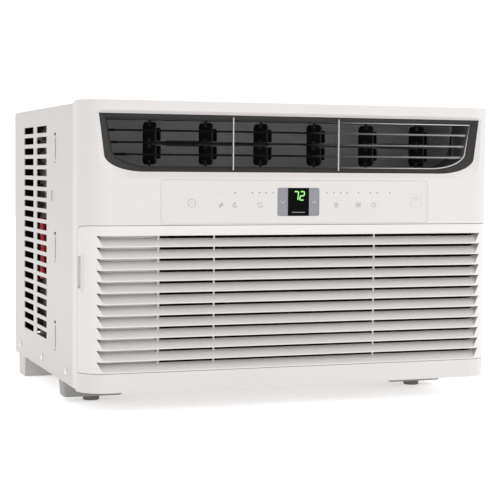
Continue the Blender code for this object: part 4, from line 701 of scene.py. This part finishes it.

# %% [markdown]
# The bezel is a dark sleeve whose mouth slopes in from the flare.  Its slope is one more skin
# of outlines, finely stepped at the inner lip, where the bead sits: a plastic trim whose pale
# right end is a painted highlight.  The bead and the two uprights are separate trims, as they
# would be on the assembly line.

# %% Outlet bezel
MOUTH_FRONT, MOUTH_BACK, SLEEVE_BACK = 4.3, 9.3, 50
SLEEVE = 3
bezel_mesh = bmesh.new()
prism(bezel_mesh, outlet(0.3, 0.3, 0.3), "Y", MOUTH_FRONT, 10.7)
bezel = solid(bezel_mesh, "bezel_ring")
bore = bmesh.new()
prism(bore, inner_outlet(), "Y", -3, SLEEVE_BACK + 7)
carve(bezel, bore)
sleeve = bmesh.new()
skin(sleeve, [[(x, depth, z) for x, z in inner_outlet(grow)] for grow, depth in (
    (0, 10.7), (SLEEVE, 10.7), (SLEEVE, SLEEVE_BACK), (0, SLEEVE_BACK))], loop=True)
complete(solid(sleeve, "outlet_sleeve"), sleeve_plastic, "cabinet")
slope = bmesh.new()
skin(slope, [[(x, depth, z) for x, z in outline] for outline, depth in (
    (outlet(0.6, 0.6, 0.6), 3.5), (outlet(1.0, 1.0, 1.0), MOUTH_FRONT + 0.1),
    (outlet(1.6, 1.4, 1.4), MOUTH_FRONT + 0.7), (outlet(5, 3.2, 3.2), 6.4),
    (outlet(7.6, 4.7, 4.7), 8.1), (inner_outlet(0.3), MOUTH_BACK), (inner_outlet(0.2), 10.2))])
carve(bezel, slope)
complete(bezel, bezel_plastic, "cabinet", ["outlet_bezel"])

bead = bmesh.new()
tube(bead, [(x, MOUTH_BACK - 0.2, z) for x, z in inner_outlet(0.1)], 0.6, 8, loop=True)
complete(solid(bead, "bezel_bead"), bead_painted_highlight, "cabinet", smooth=60)
for label, x in (("left", -72), ("right", 48)):
    upright = bmesh.new()
    prism(upright, rounded(x - 0.75, x + 0.75, 4.6, 6.8, 0.5, 3), "Z", OUTLET_BOTTOM + 2.2, OUTLET_TOP - 2.2)
    complete(solid(upright, f"outlet_upright_{label}"), upright_metal, "cabinet")
print("bezel has", len(bezel.data.polygons), "faces")

# %% [markdown]
# Three louvres tip the air up and down together.  A real one is a thin wing with a rounded
# nose, pivot pegs at both ends and a slot for the link that joins the three.  Each rides on
# its own body, so it is drawn at rest round its own pivot line.

# %% Louvres
LOUVERS = {"lower": 244.8, "middle": 257.2, "upper": 269.6}
LOUVER_DEPTH = 14
WING = ((-5.5, 0), (-5.3, 0.55), (-4.4, 0.85), (-1, 1.0), (3, 0.75), (5.2, 0.42), (5.5, 0))
link_low, link_high = measured("louver_link")
for label, height in LOUVERS.items():
    wing_low, wing_high = measured(f"{label}_louver")
    reach = wing_high.x - 0.6
    half = reach - (13 if label == "lower" else 6)
    section = [*WING, *[(depth, -rise) for depth, rise in WING[-2:0:-1]]]
    wing_mesh = bmesh.new()
    prism(wing_mesh, [(LOUVER_DEPTH + depth, height + rise) for depth, rise in section], "X", -half, half)
    wing = solid(wing_mesh, f"louver_blade_{label}")
    notch = bmesh.new()
    block(notch, link_low.x - 0.6, link_high.x + 0.6, LOUVER_DEPTH + 1, LOUVER_DEPTH + 9,
          height - 5, height + 5)
    carve(wing, notch)
    for x0, x1, depth, radius in ((-reach, -half + 4, 0, 1.4), (half - 4, reach, 0, 1.4),
                                  (link_low.x - 5, link_high.x + 5, 4, 0.8)):
        peg = bmesh.new()
        tube(peg, [(x0, LOUVER_DEPTH + depth, height), (x1, LOUVER_DEPTH + depth, height)], radius, 12)
        carve(wing, peg, "UNION")
    complete(wing, louver_plastic, f"{label}_louver", [f"{label}_louver"])
print("louvres made")

# %% [markdown]
# Behind them, six upright vanes steer the air sideways.  Each is a black plate with round
# corners, pivot bosses at top and bottom, a hub in the middle and a short second fin.  All
# six are one shape, so one function draws it and turns it about its pivot.

# %% Vanes
VANE_TURN = math.radians(20)
VANE_DEPTH, VANE_PITCH = 34, 62
VANE_LOW, VANE_HIGH = OUTLET_BOTTOM + LIP_LOW + 2, OUTLET_TOP - LIP_LOW - 2
VANE_MIDDLE = (VANE_LOW + VANE_HIGH) / 2
LINK_ARM = 8


def vane(name, x, body):
    def turned_mesh(bm):
        bm.transform(Matrix.Translation((x, VANE_DEPTH, 0)) @ Matrix.Rotation(VANE_TURN, 4, "Z"))
        return bm

    plate = bmesh.new()
    prism(plate, rounded(-11, 11, VANE_LOW, VANE_HIGH, 5), "X", -1.1, 1.1)
    made = solid(turned_mesh(plate), name)
    notch = bmesh.new()
    prism(notch, rounded(-22, -4, VANE_MIDDLE - 2.6, VANE_MIDDLE + 2.6, 1.2, 3), "X", -9, 9)
    for profile, foot in (
            (((1.5, -4), (1.5, 0.0), (3.4, 0.2), (3.4, 4.5), (2.2, 5.2)), VANE_LOW),
            (((2.2, -5.2), (3.4, -4.5), (3.4, -0.2), (1.5, 0.0), (1.5, 4)), VANE_HIGH),
            (((2.2, -5.5), (3.3, -5.0), (3.3, 5.0), (2.2, 5.5)), VANE_MIDDLE)):
        boss = bmesh.new()
        turned(boss, profile, (0, 0, foot), sides=20)
        carve(made, turned_mesh(boss), "UNION")
    fin = bmesh.new()
    prism(fin, rounded(-10, -1, VANE_LOW + 6, VANE_HIGH - 6, 2.5, 4), "X", 6.2, 7.2)
    carve(made, turned_mesh(fin), "UNION")
    for z in (VANE_LOW + 12, VANE_HIGH - 12):
        web = bmesh.new()
        block(web, 0.5, 6.8, -3.4, -2.4, z - 2, z + 2)
        carve(made, turned_mesh(web), "UNION")
    carve(made, turned_mesh(notch))
    passage = bmesh.new()
    block(passage, 4, 9, -22, 1, VANE_MIDDLE - 2.6, VANE_MIDDLE + 2.6)
    carve(made, turned_mesh(passage))
    rod = bmesh.new()
    turned(rod, ((0.9, -6), (0.9, 6)), (0, -LINK_ARM, VANE_MIDDLE), sides=12)
    carve(made, turned_mesh(rod), "UNION")
    return complete(made, black_plastic, body, [body], bevel=0.2)


for index in range(6):
    body = f"{'left' if index < 3 else 'right'}_vane_{index % 3 + 1}"
    vane(f"vane_plate_{index + 1}", (index - 2.5) * VANE_PITCH, body)
print("six vanes made")

# %% [markdown]
# A link ties each group of three vanes, and a serrated tab on it takes the thumb.  The tab
# narrows to a point on its left, and its face has fine upright grooves, cut as a row of
# small triangles.

# %% Vane links and thumb tabs
TAB_LENGTH, TAB_HALF, GROOVES = 38, 3, 14
for group, first, place in (("left", 0, 0.5), ("right", 3, 1.5)):
    low, high = measured(f"{group}_vane_link")
    pivots = [(index - 2.5) * VANE_PITCH + LINK_ARM * math.sin(VANE_TURN) for index in range(first, first + 3)]
    depth = VANE_DEPTH - LINK_ARM * math.cos(VANE_TURN)
    bar_mesh = bmesh.new()
    prism(bar_mesh, rounded(pivots[0] - 3, pivots[2] + 3, depth - 1.5, depth + 1.5, 1.4, 5), "Z",
          VANE_MIDDLE - 2, VANE_MIDDLE + 2)
    bar = solid(bar_mesh, f"vane_link_bar_{group}")
    start = (first - 2.5 + place) * VANE_PITCH - TAB_LENGTH / 2
    tab = bmesh.new()
    prism(tab, [(start, VANE_MIDDLE), (start + 4, VANE_MIDDLE - TAB_HALF),
                (start + TAB_LENGTH, VANE_MIDDLE - TAB_HALF), (start + TAB_LENGTH, VANE_MIDDLE + TAB_HALF),
                (start + 4, VANE_MIDDLE + TAB_HALF)], "Y", low.y, depth + 0.5)
    carve(bar, tab, "UNION")
    grooves = bmesh.new()
    pitch = (TAB_LENGTH - 6) / GROOVES
    for groove in range(GROOVES):
        x = start + 5.5 + groove * pitch
        block(grooves, x - 0.6, x + 0.6, low.y - 3, depth + 3, VANE_MIDDLE - 2.3, VANE_MIDDLE + 2.3)
    carve(bar, grooves)
    eyes = bmesh.new()
    for x in pivots:
        tube(eyes, [(x, depth, VANE_MIDDLE - 9), (x, depth, VANE_MIDDLE + 9)], 1.2, 12)
    carve(bar, eyes)
    complete(bar, black_plastic, f"{group}_vane_link", [f"{group}_vane_link"])
print("links and thumb tabs made")

# %% [markdown]
# The control strip is a film with keys under it.  On the real unit the keys barely show, so
# the film gets close-fitting openings and each key is a cap with a soft edge.  The keys keep
# their CAD bodies and can be pressed.

# %% Control film and keys
low, high = measured("control_overlay")
FACE = low.y
FILM_BACK = FACE + 0.9
CAP_BACK = FACE + 0.45          # a key can sink by 0.6 mm before it meets the pocket
KEY_FIT = 0.02
DISPLAY = [measured("temperature_down_key")[0].x - 0.25, measured("temperature_up_key")[1].x + 0.25,
           measured("display_window")[0].z - 0.3, measured("display_window")[1].z + 0.3]
LABELLED = ("eco_key", "sleep_key", "mode_key", "fan_speed_key", "filter_key", "timer_key")
key_middle = {}
key_outline = {}
for key in (*LABELLED, "power_key"):
    key_low, key_high = measured(key)
    key_middle[key] = (key_low + key_high) / 2
    radius = 7 if key == "power_key" else 2
    key_outline[key] = lambda grow, a=key_low, b=key_high, r=radius: rounded(
        a.x - 0.25 - grow, b.x + 0.25 + grow, a.z - 0.25 - grow, b.z + 0.25 + grow, r + grow, 8)

film_mesh = bmesh.new()
prism(film_mesh, rounded(OVERLAY[0] + 0.2, OVERLAY[1] - 0.2, OVERLAY[2] + 0.2, OVERLAY[3] - 0.2, 2.8, 8),
      "Y", FACE, FILM_BACK)
film_piece = solid(film_mesh, "control_film")
openings = bmesh.new()
for outline in key_outline.values():
    prism(openings, outline(0), "Y", -4, 4)
prism(openings, rounded(*DISPLAY, 2.2, 6), "Y", -4, 4)
carve(film_piece, openings)
complete(film_piece, film, "cabinet", ["control_overlay"])
for key, outline in key_outline.items():
    cap = bmesh.new()
    skin(cap, [[(x, depth, z) for x, z in outline(-KEY_FIT - inset)]
               for inset, depth in ((0.04, FACE), (0, FACE + 0.04), (0, CAP_BACK))])
    complete(solid(cap, f"{key}_cap"), film, key, [key])
print(len(key_outline), "keys capped")

# %% [markdown]
# The display block has a grey key on either side of a dark window.  Its two digits are built
# like the real ones, from seven-segment bars with pointed ends, and they only use the bars
# that the number needs.

# %% Display
WINDOW = (-12, 12)
EDGES = {"temperature_down_key": (DISPLAY[0], WINDOW[0]), "temperature_up_key": (WINDOW[1], DISPLAY[1])}
for key, (left, rightmost) in EDGES.items():
    outer_left = key == "temperature_down_key"
    corner = rounded(DISPLAY[0] + 0.12, DISPLAY[1] - 0.12, DISPLAY[2] + 0.12, DISPLAY[3] - 0.12, 2.1, 6)
    cap_mesh = bmesh.new()
    prism(cap_mesh, corner, "Y", FACE, CAP_BACK)
    cap = solid(cap_mesh, f"{key}_cap")
    keep = bmesh.new()
    block(keep, left - (1 if outer_left else -0.1), rightmost + (-0.1 if outer_left else 1), -3, 3,
          DISPLAY[2] - 1, DISPLAY[3] + 1)
    carve(cap, keep, "INTERSECT")
    complete(cap, temperature_film, key, [key], bevel=0.15)
    middle = (left + rightmost) / 2
    centre_z = (DISPLAY[2] + DISPLAY[3]) / 2
    tip = 1.4 if key == "temperature_up_key" else -1.4
    chevron = bmesh.new()
    tube(chevron, [(middle - 2.4, FACE, centre_z - tip), (middle, FACE, centre_z + tip),
                   (middle + 2.4, FACE, centre_z - tip)], 0.32, 6)
    complete(solid(chevron, f"{key}_mark"), film, key)

window_mesh = bmesh.new()
prism(window_mesh, rounded(WINDOW[0] + 0.1, WINDOW[1] - 0.1, DISPLAY[2] + 0.1, DISPLAY[3] - 0.1, 0.6, 3), "Y",
      FACE, FILM_BACK)
complete(solid(window_mesh, "display_glass"), window_gloss, "cabinet", ["display_window"],
         bevel=0.12)


def bar(bm, x0, z0, x1, z1, half):
    """One lit bar with pointed ends, just proud of the glass."""
    along = Vector((x1 - x0, z1 - z0)).normalized()
    across = Vector((-along.y, along.x)) * half
    first, last = Vector((x0, z0)) + along * half, Vector((x1, z1)) - along * half
    prism(bm, [(x0, z0), tuple(first + across), tuple(last + across), (x1, z1), tuple(last - across),
               tuple(first - across)], "Y", FACE - 0.04, FACE + 0.3)


def digit(bm, left, foot, wide, tall, lit, slant=0.09):
    places = {"a": (0, 2, 1, 2), "b": (1, 1, 1, 2), "c": (1, 0, 1, 1), "d": (0, 0, 1, 0),
              "e": (0, 0, 0, 1), "f": (0, 1, 0, 2), "g": (0, 1, 1, 1)}
    for name in lit:
        x0, z0, x1, z1 = places[name]
        low_z, high_z = z0 * tall / 2, z1 * tall / 2
        bar(bm, left + x0 * wide + slant * low_z, foot + low_z, left + x1 * wide + slant * high_z,
            foot + high_z, 0.62)


digits = bmesh.new()
digit(digits, -5.4, 198, 4.6, 9, "abc")
digit(digits, 1.4, 198, 4.6, 9, "abged")
complete(solid(digits, "display_digits"), digit_light, "cabinet")
underline = bmesh.new()
prism(underline, rounded(-7.5, 7.5, 184.6, 185.3, 0.3, 2), "Y", FACE - 0.03, FACE + 0.2)
complete(solid(underline, "display_underline"), pale_ink, "cabinet")
print("display made")

# %% [markdown]
# Each key carries a small printed sign in place of a word: a leaf, a moon, a loop of arrows,
# a fan, a net and a clock.  A sign is a few strokes of fine wire half sunk in the key, and it
# rides on the key, so it moves when the key is pressed.

# %% Printed signs
def circle(x, z, radius, start=0, end=360, steps=20):
    return arc(x, z, radius, radius, start, end, steps)


def sign(name, body, strokes, thickness=0.26, finish=pale_ink):
    marks = bmesh.new()
    for stroke in strokes:
        closed = stroke[0] == stroke[-1] or math.dist(stroke[0], stroke[-1]) < 0.001
        path = [(x, FACE + 0.08, z) for x, z in (stroke[:-1] if closed else stroke)]
        tube(marks, path, thickness, 6, loop=closed)
    return complete(solid(marks, name), finish, body, smooth=60)


def sign_strokes(kind, x, z):
    if kind == "eco_key":
        return [[(x - 2, z - 2), *arc(x - 2, z + 2, 4, 4, -80, -5, 8)][::-1]
                + arc(x + 2, z - 2, 4, 4, 95, 170, 8),
                [(x - 2.6, z - 2.6), (x + 1, z + 1)]]
    if kind == "sleep_key":
        return [circle(x, z, 2.4, 60, 330) + arc(x + 1.6, z + 0.9, 2.2, 2.2, 285, 105, 10)[1:-1]]
    if kind == "mode_key":
        return [circle(x, z, 2.4, 30, 160, 10), circle(x, z, 2.4, 210, 340, 10),
                [(x - 3.6, z + 1.4), (x - 2.2, z + 0.7), (x - 1.6, z + 2.1)],
                [(x + 3.6, z - 1.4), (x + 2.2, z - 0.7), (x + 1.6, z - 2.1)]]
    if kind == "fan_speed_key":
        return [[(x, z)] + arc(x + 1.5 * math.cos(turn), z + 1.5 * math.sin(turn), 1.2, 1.2,
                               math.degrees(turn) - 150, math.degrees(turn) + 120, 9)
                for turn in (0.5, 2.6, 4.7)]
    if kind == "filter_key":
        return [[(x - 2.4, z + level), (x + 2.4, z + level)] for level in (-2.1, -0.7, 0.7, 2.1)] + [
            [(x + level, z - 2.1), (x + level, z + 2.1)] for level in (-2.4, 2.4)]
    return [circle(x, z, 2.5), [(x, z + 1.6), (x, z), (x + 1.3, z)]]


for key in LABELLED:
    sign(f"{key}_sign", key, sign_strokes(key, key_middle[key].x, key_middle[key].z))
power_x, power_z = key_middle["power_key"].x, key_middle["power_key"].z
sign("power_sign", "power_key", [circle(power_x, power_z, 4.1, steps=32),
                                 [(power_x, power_z - 1.2), (power_x, power_z + 1.5)]], 0.24)
sign("network_sign", "cabinet", [circle(138.7, 195, radius, 50, 130, 8) for radius in (2, 4, 6)]
     + [rounded(132.5, 144.9, 190.5, 204.5, 2.5, 4) + [(144.9, 202)]], 0.15)
print("signs printed")

# %% [markdown]
# A row of tiny lamps stands over the signs.  They are domes a millimetre and a half wide,
# and only the first one is lit.

# %% Indicator lamps
LAMPS = (-86.7, -71.4, -52.3, -44.3, -36.7, -28.8, 32.8, 41.0, 48.8, 56.4, 69.7, 83.7, 91.7, 106.9)
LAMP_HEIGHT = 205.7
for name, places, finish in (("lamp_lit", LAMPS[:1], gold_light), ("lamps_dark", LAMPS[1:], dark_lamp)):
    domes = bmesh.new()
    for x in places:
        turned(domes, ((0.8, 0), (0.8, 0.42), (0.6, 0.55), (0.25, 0.62)), (x, FACE + 0.5, LAMP_HEIGHT),
               (0, -1, 0), 12)
    complete(solid(domes, name), finish, "cabinet", smooth=50)
print(len(LAMPS), "lamps")

# %% [markdown]
# The cabinet is one sheet folded over the works.  Its sides have two columns of louvre slots
# with their corners eased by the punch, and three lanced tabs: strips pushed out of the sheet
# where a side curtain's frame hooks in.

# %% Cabinet
CABINET_HALF = measured("outer_cabinet")[1].x - 2
CABINET_TOP = measured("outer_cabinet")[1].z
SHEET, FOLD, FLANGE = 1.0, 4.0, 12.0


def wrap(inset, steps=8):
    half, top, radius = CABINET_HALF - inset, CABINET_TOP - inset, max(FOLD - inset, 1)
    return [(-half, 0), *arc(-half + radius, top - radius, radius, radius, 180, 90, steps),
            *arc(half - radius, top - radius, radius, radius, 90, 0, steps), (half, 0)]


cabinet_mesh = bmesh.new()
prism(cabinet_mesh, wrap(0) + wrap(SHEET)[::-1], "Y", SEAM + 0.3, BACK)
cabinet = solid(cabinet_mesh, "cabinet_wrap")
flange = bmesh.new()
inside = wrap(FLANGE)
inside[0], inside[-1] = (inside[0][0], 22), (inside[-1][0], 22)
outside = wrap(SHEET / 2)
outside[0], outside[-1] = (outside[0][0], 22), (outside[-1][0], 22)
prism(flange, outside + inside[::-1], "Y", BACK - SHEET, BACK)
carve(cabinet, flange, "UNION")

VENT_ROWS, VENT_PITCH, VENT_HEIGHT, VENT_LENGTH, VENT_LOW = 20, 12.3, 7.8, 56, 36
punch = bmesh.new()
for start in (182, 256):
    for row in range(VENT_ROWS):
        low = VENT_LOW + row * VENT_PITCH
        prism(punch, rounded(start, start + VENT_LENGTH, low, low + VENT_HEIGHT, 1.0, 3), "X", -300, 300)
carve(cabinet, punch)

TAB_DEPTH, TAB_HEIGHTS, TAB_RISE = 138, (31, 129, 238), 0.5
lances = bmesh.new()
for low in TAB_HEIGHTS:
    prism(lances, rounded(TAB_DEPTH - 4.2, TAB_DEPTH + 4.2, low + 1.2, low + 25.8, 0.8, 3), "X", -300, 300)
    prism(lances, rounded(TAB_DEPTH - 4.5, TAB_DEPTH + 4.5, low + 27.6, low + 30.8, 1.5, 6), "X", -300, 300)
    prism(lances, rounded(TAB_DEPTH - 2.2, TAB_DEPTH + 2.2, low - 2.6, low - 0.6, 0.95, 4), "X", -300, 300)
prism(lances, rounded(152.6, 159.4, 192.9, 205.1, 3.2, 6), "X", -300, 300)
carve(cabinet, lances)
grommet_low, grommet_high = measured("cord_bushing")
knockout = bmesh.new()
bush = (grommet_low + grommet_high) / 2
radius = (grommet_high.z - grommet_low.z) / 2 + 0.15
tube(knockout, [(CABINET_HALF - 3, bush.y, bush.z), (CABINET_HALF + 3, bush.y, bush.z)], radius, 40)
carve(cabinet, knockout)
complete(cabinet, cabinet_paint, "cabinet", ["outer_cabinet"])
print("cabinet has", len(cabinet.data.polygons), "faces")

# %% [markdown]
# The lanced strips bow outwards between their ends, so each is a skin of rectangles along a
# shallow arch.  Sheet screws with domed heads hold the skirt, and a small pressed oval marks
# where the handle bracket sits inside.  Black sheets behind the tabs and baffles beside the
# coil keep daylight out: painted shade, where the real unit is only dark inside.  Red sleeves
# cover the wires behind the slots.

# %% Tabs, screws and pressings
BAFFLE_LAP = 16
coil_low, coil_high = measured("condenser_coil")
inner = min(-coil_low.x, coil_high.x) - BAFFLE_LAP
for side, label in ((-1, "left"), (1, "right")):
    strips = bmesh.new()
    for low in TAB_HEIGHTS:
        steps = [(share, math.sin(math.pi * min(share, 1 - share) / 0.16 / 2) if
                  min(share, 1 - share) < 0.16 else 1.0) for share in
                 (0, 0.03, 0.07, 0.11, 0.16, 0.5, 0.84, 0.89, 0.93, 0.97, 1)]
        rings = []
        for share, rise in steps:
            z = low + 27 * share
            out = CABINET_HALF + TAB_RISE * rise
            rings.append([(side * x, TAB_DEPTH + depth, z) for x, depth in
                          ((out, -2.4), (out, 2.4), (out - SHEET, 2.4), (out - SHEET, -2.4))])
        skin(strips, rings)
    complete(solid(strips, f"lanced_tabs_{label}"), cabinet_paint, "cabinet")
    heads = solid(bmesh.new(), f"skirt_screws_{label}")
    for depth in (82, 208, 337):
        head = bmesh.new()
        turned(head, ((4.4, -0.4), (4.4, 0.5), (3.8, 1.3), (2.6, 1.9), (1.0, 2.2)),
               (side * CABINET_HALF, depth, 13), (side, 0, 0), 28)
        carve(heads, head, "UNION")
        cross = bmesh.new()
        block(cross, side * (CABINET_HALF + 1.0), side * (CABINET_HALF + 3), depth - 1.9, depth + 1.9, 12.6, 13.4)
        carve(heads, cross)
        cross = bmesh.new()
        block(cross, side * (CABINET_HALF + 1.0), side * (CABINET_HALF + 3), depth - 0.4, depth + 0.4, 11.1, 14.9)
        carve(heads, cross)
    complete(heads, can_metal, "cabinet")
    dimple = bmesh.new()
    skin(dimple, [[(side * (CABINET_HALF + rise), depth, z) for depth, z in
                   rounded(153.2 + inset, 158.8 - inset, 193.5 + inset, 204.5 - inset, 2.7 - inset, 6)]
                  for inset, rise in ((0, -0.9), (0, 0.5), (0.3, 0.9), (0.9, 1.2), (1.6, 1.3))])
    complete(solid(dimple, f"pressed_oval_{label}"), cabinet_paint, "cabinet")
    # The sheet behind the tabs is black: painted shade, where the real unit is dark inside.
    pad = bmesh.new()
    block(pad, *sorted((side * (CABINET_HALF - 2.4), side * (CABINET_HALF - SHEET - 0.15))), 128, 162, 27, 276)
    complete(solid(pad, f"side_shade_sheet_{label}"), shade_sheet, "cabinet")
    # The baffle beside the coil is black: painted shade that keeps daylight from showing through the vents.
    baffle = bmesh.new()
    block(baffle, *sorted((side * inner, side * (CABINET_HALF - SHEET - 0.2))), BACK - 2.2, BACK - 1.2, 24,
          CABINET_TOP - FOLD)
    complete(solid(baffle, f"coil_baffle_{label}"), shade_sheet, "cabinet")
wires = bmesh.new()
for x, depth, low, high in ((-216, 284, 97, 170), (-208, 287, 93, 168), (-200, 289, 97, 172)):
    tube(wires, [(x, depth, low), (x + 1.5, depth, (low + high) / 2), (x, depth, high)], 3.6, 12)
complete(solid(wires, "wire_sleeves"), red_plastic, "cabinet")
print("tabs, screws, pressings and wire sleeves made")

# %% [markdown]
# The unit stands on two moulded blocks in front and a folded rail at the back.  The blocks
# taper slightly towards the ground, as a moulding must to leave its tool, and have a rubber
# stud under them.

# %% Feet
for label in ("left", "right"):
    low, high = measured(f"{label}_foot")
    foot = bmesh.new()
    skin(foot, [[(x, y, z) for x, y in rounded(low.x + inset, high.x - inset, low.y + inset,
                                               high.y - inset, 4 - inset / 2, 6)]
                for inset, z in ((2.6, low.z), (1.8, low.z + 0.5), (1.2, low.z + 1.6), (0.0, high.z - 2),
                                 (0.0, high.z))])
    complete(solid(foot, f"foot_block_{label}"), foot_plastic, "cabinet", [f"{label}_foot"])
    low, high = measured(f"{label}_foot_pad")
    middle, radius = (low + high) / 2, (high.x - low.x) / 2
    stud = bmesh.new()
    turned(stud, ((radius - 1.0, 0), (radius - 0.3, 0.3), (radius, 1.0), (radius, high.z - low.z)),
           (middle.x, middle.y, low.z))
    complete(solid(stud, f"foot_stud_{label}"), grey_rubber, "cabinet", [f"{label}_foot_pad"])
print("feet made")

# %% [markdown]
# Both coils are stacks of thin fins pressed onto copper tube, with a steel plate at each end
# and hairpin bends outside it.  Seen through the open back the fins are the whole picture, so
# they are real sheets, each with the slight ripple that stiffens it.

# %% Finned coils
def fin_stack(name, node, rows, pitch, finish, tube_radius=4.0):
    low, high = measured(node)
    left, rightmost = low.x + 12, high.x - 12
    fins = bmesh.new()
    count = int((rightmost - left) / pitch)
    for index in range(1, count):
        x = left + (rightmost - left) * index / count
        ripple = [(low.y + 0.4 + (high.y - low.y - 0.8) * step / 6, 0.35 * (-1) ** step) for step in range(7)]
        outline = [(x + shift - 0.08, y) for y, shift in ripple] + [
            (x + shift + 0.08, y) for y, shift in reversed(ripple)]
        prism(fins, outline, "Z", low.z + 0.5, high.z - 0.5)
    stack = complete(solid(fins, f"{name}_fins"), finish, "cabinet", [node])
    plates = bmesh.new()
    for x in (left, rightmost):
        block(plates, x - 0.6, x + 0.6, low.y, high.y, low.z, high.z)
    complete(solid(plates, f"{name}_end_plates"), zinc_sheet, "cabinet", bevel=0.2)
    pipes = bmesh.new()
    middle, step = (low.y + high.y) / 2, (high.z - low.z) / rows
    for row in range(rows):
        z = low.z + (row + 0.5) * step
        tube(pipes, [(left - 1, middle, z), (rightmost + 1, middle, z)], tube_radius, 12)
        if row < rows - 1:
            side, x = (1, rightmost) if row % 2 == 0 else (-1, left)
            bend = [(x + side * (1.2 + 8 * math.sin(turn)), middle, z + step / 2 - step / 2 * math.cos(turn))
                    for turn in [math.pi * part / 10 for part in range(11)]]
            tube(pipes, [(x - side, middle, z), *bend, (x - side, middle, z + step)], tube_radius, 12)
    complete(solid(pipes, f"{name}_pipes"), copper_painted_shade, "cabinet", smooth=50)
    return len(stack.data.polygons)


print("condenser fins:", fin_stack("condenser", "condenser_coil", 12, 2.2, fin_metal), "faces")
print("evaporator fins:", fin_stack("evaporator", "evaporator_coil", 8, 2.2, evaporator_fin_painted_shade), "faces")

# %% [markdown]
# The compressor is a deep-drawn can with a rolled weld round its waist, a slim accumulator
# strapped to its side and a three-armed foot on rubber grommets.  Turned profiles give the
# cans, and a prism with round corners gives the foot.

# %% Compressor
low, high = measured("compressor")
can_x, can_y, can_radius = -HALF + 85, BACK - 145, 50
foot_z = low.z + 3
can = bmesh.new()
turned(can, ((can_radius - 4, 0), (can_radius, 4), (can_radius, 92), (can_radius + 1.6, 94),
             (can_radius + 1.6, 99), (can_radius - 0.5, 101), (can_radius - 0.5, 168), (46, 178), (36, 185),
             (20, 189), (6, 190)), (can_x, can_y, foot_z), sides=64)
compressor = solid(can, "compressor_shell")
turn = math.radians(-55)
side_x, side_y = can_x + 72 * math.cos(turn), can_y + 72 * math.sin(turn)
bottle = bmesh.new()
turned(bottle, ((10, 28), (17, 31), (19, 36), (19, 122), (16, 129), (6, 132)), (side_x, side_y, foot_z), sides=40)
carve(compressor, bottle, "UNION")
strap = bmesh.new()
tube(strap, [(can_x, can_y, foot_z + 80), (side_x, side_y, foot_z + 80)], 7, 20)
carve(compressor, strap, "UNION")
plate = bmesh.new()
corners = []
for arm in range(3):
    angle = 90 + 120 * arm
    corners += arc(can_x + 54 * math.cos(math.radians(angle)), can_y + 54 * math.sin(math.radians(angle)),
                   12, 12, angle - 60, angle + 60, 8)
prism(plate, corners, "Z", low.z, low.z + 3.5)
carve(compressor, plate, "UNION")
complete(compressor, enamel, "cabinet", ["compressor"], smooth=40)
low, high = measured("terminal_cover")
cover = bmesh.new()
prism(cover, rounded(low.y, high.y, low.z, high.z, 5), "X", low.x, high.x)
cover = solid(cover, "terminal_lid")
ribs = bmesh.new()
for index in range(1, 6):
    z = low.z + (high.z - low.z) * index / 6
    block(ribs, low.x - 1, low.x + 0.8, low.y + 6, high.y - 6, z - 0.8, z + 0.8)
carve(cover, ribs)
complete(cover, red_plastic, "cabinet", ["terminal_cover"], bevel=0.6)
print("compressor made")

# %% [markdown]
# Everything else keeps its CAD shape and only needs the right finish.  A table from finish to
# pieces does it, and the loop replaces whatever plain material came with the model.

# %% Dress the other pieces
DRESS = {
    pan_paint: ("base_pan",),
    black_plastic: ("louver_link", "fan_shroud", "condenser_fan", "blower_wheel"),
    duct_foam: ("discharge_duct",),
    foam: ("blower_housing", "drain_tray"),
    front_plastic: ("inlet_orifice",),
    board_green: ("front_board", "main_board"),
    zinc_sheet: ("bulkhead", "motor_bracket", "control_box", "control_box_cover"),
    turned_steel: ("motor_shaft", "fan_motor"),
    can_metal: ("run_capacitor",),
    rubber: ("cord_bushing", "compressor_grommet_1", "compressor_grommet_2", "compressor_grommet_3"),
    copper_painted_shade: ("suction_line", "discharge_line", "capillary_tube"),
}
for finish, names in DRESS.items():
    for name in names:
        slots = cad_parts[name].data.materials
        slots.clear()
        slots.append(finish.material)
print(sum(len(names) for names in DRESS.values()), "pieces dressed")

# %% [markdown]
# A catalogue shot stands on a pale sweep under broad, even light.  The floor is a large matt
# disc, the sky is white, and one wide lamp from the upper left models the edges.

# %% Studio
FLOOR_REACH = 6000
floor_mesh = bmesh.new()
turned(floor_mesh, ((FLOOR_REACH, -20), (FLOOR_REACH, 0)), (0, 0, -GROUND), sides=96)
floor = solid(floor_mesh, "studio_floor")
floor_finish = Finish("floor_finish", (0.92, 0.92, 0.92), 0.9, emission_strength=0.45)
floor_finish.tones(floor_finish.noise(3, 3.0), 0.995, 1.005)
floor.data.materials.append(floor_finish.material)

world = bpy.data.worlds.new("studio_sky")
world.use_nodes = True
world.node_tree.nodes["Background"].inputs["Color"].default_value = (1, 1, 1, 1)
world.node_tree.nodes["Background"].inputs["Strength"].default_value = 1.15
bpy.context.scene.world = world
bpy.context.scene.view_settings.view_transform = "Standard"


def soft_lamp(name, place, aim, size, watts):
    light = bpy.data.lights.new(name, "AREA")
    light.shape = "DISK"
    light.size = size * MM
    light.energy = watts
    obj = bpy.data.objects.new(name, light)
    bpy.context.scene.collection.objects.link(obj)
    obj.location = TO_MODEL @ Vector(place)
    obj.rotation_euler = ((TO_MODEL @ Vector(aim)) - obj.location).to_track_quat("-Z", "Y").to_euler()
    return obj


soft_lamp("key_light", (1000, -1500, 1300), (0, 100, 150), 1200, 9)
soft_lamp("edge_light", (1500, -300, 900), (0, 100, 150), 900, 2)
print("studio lit")
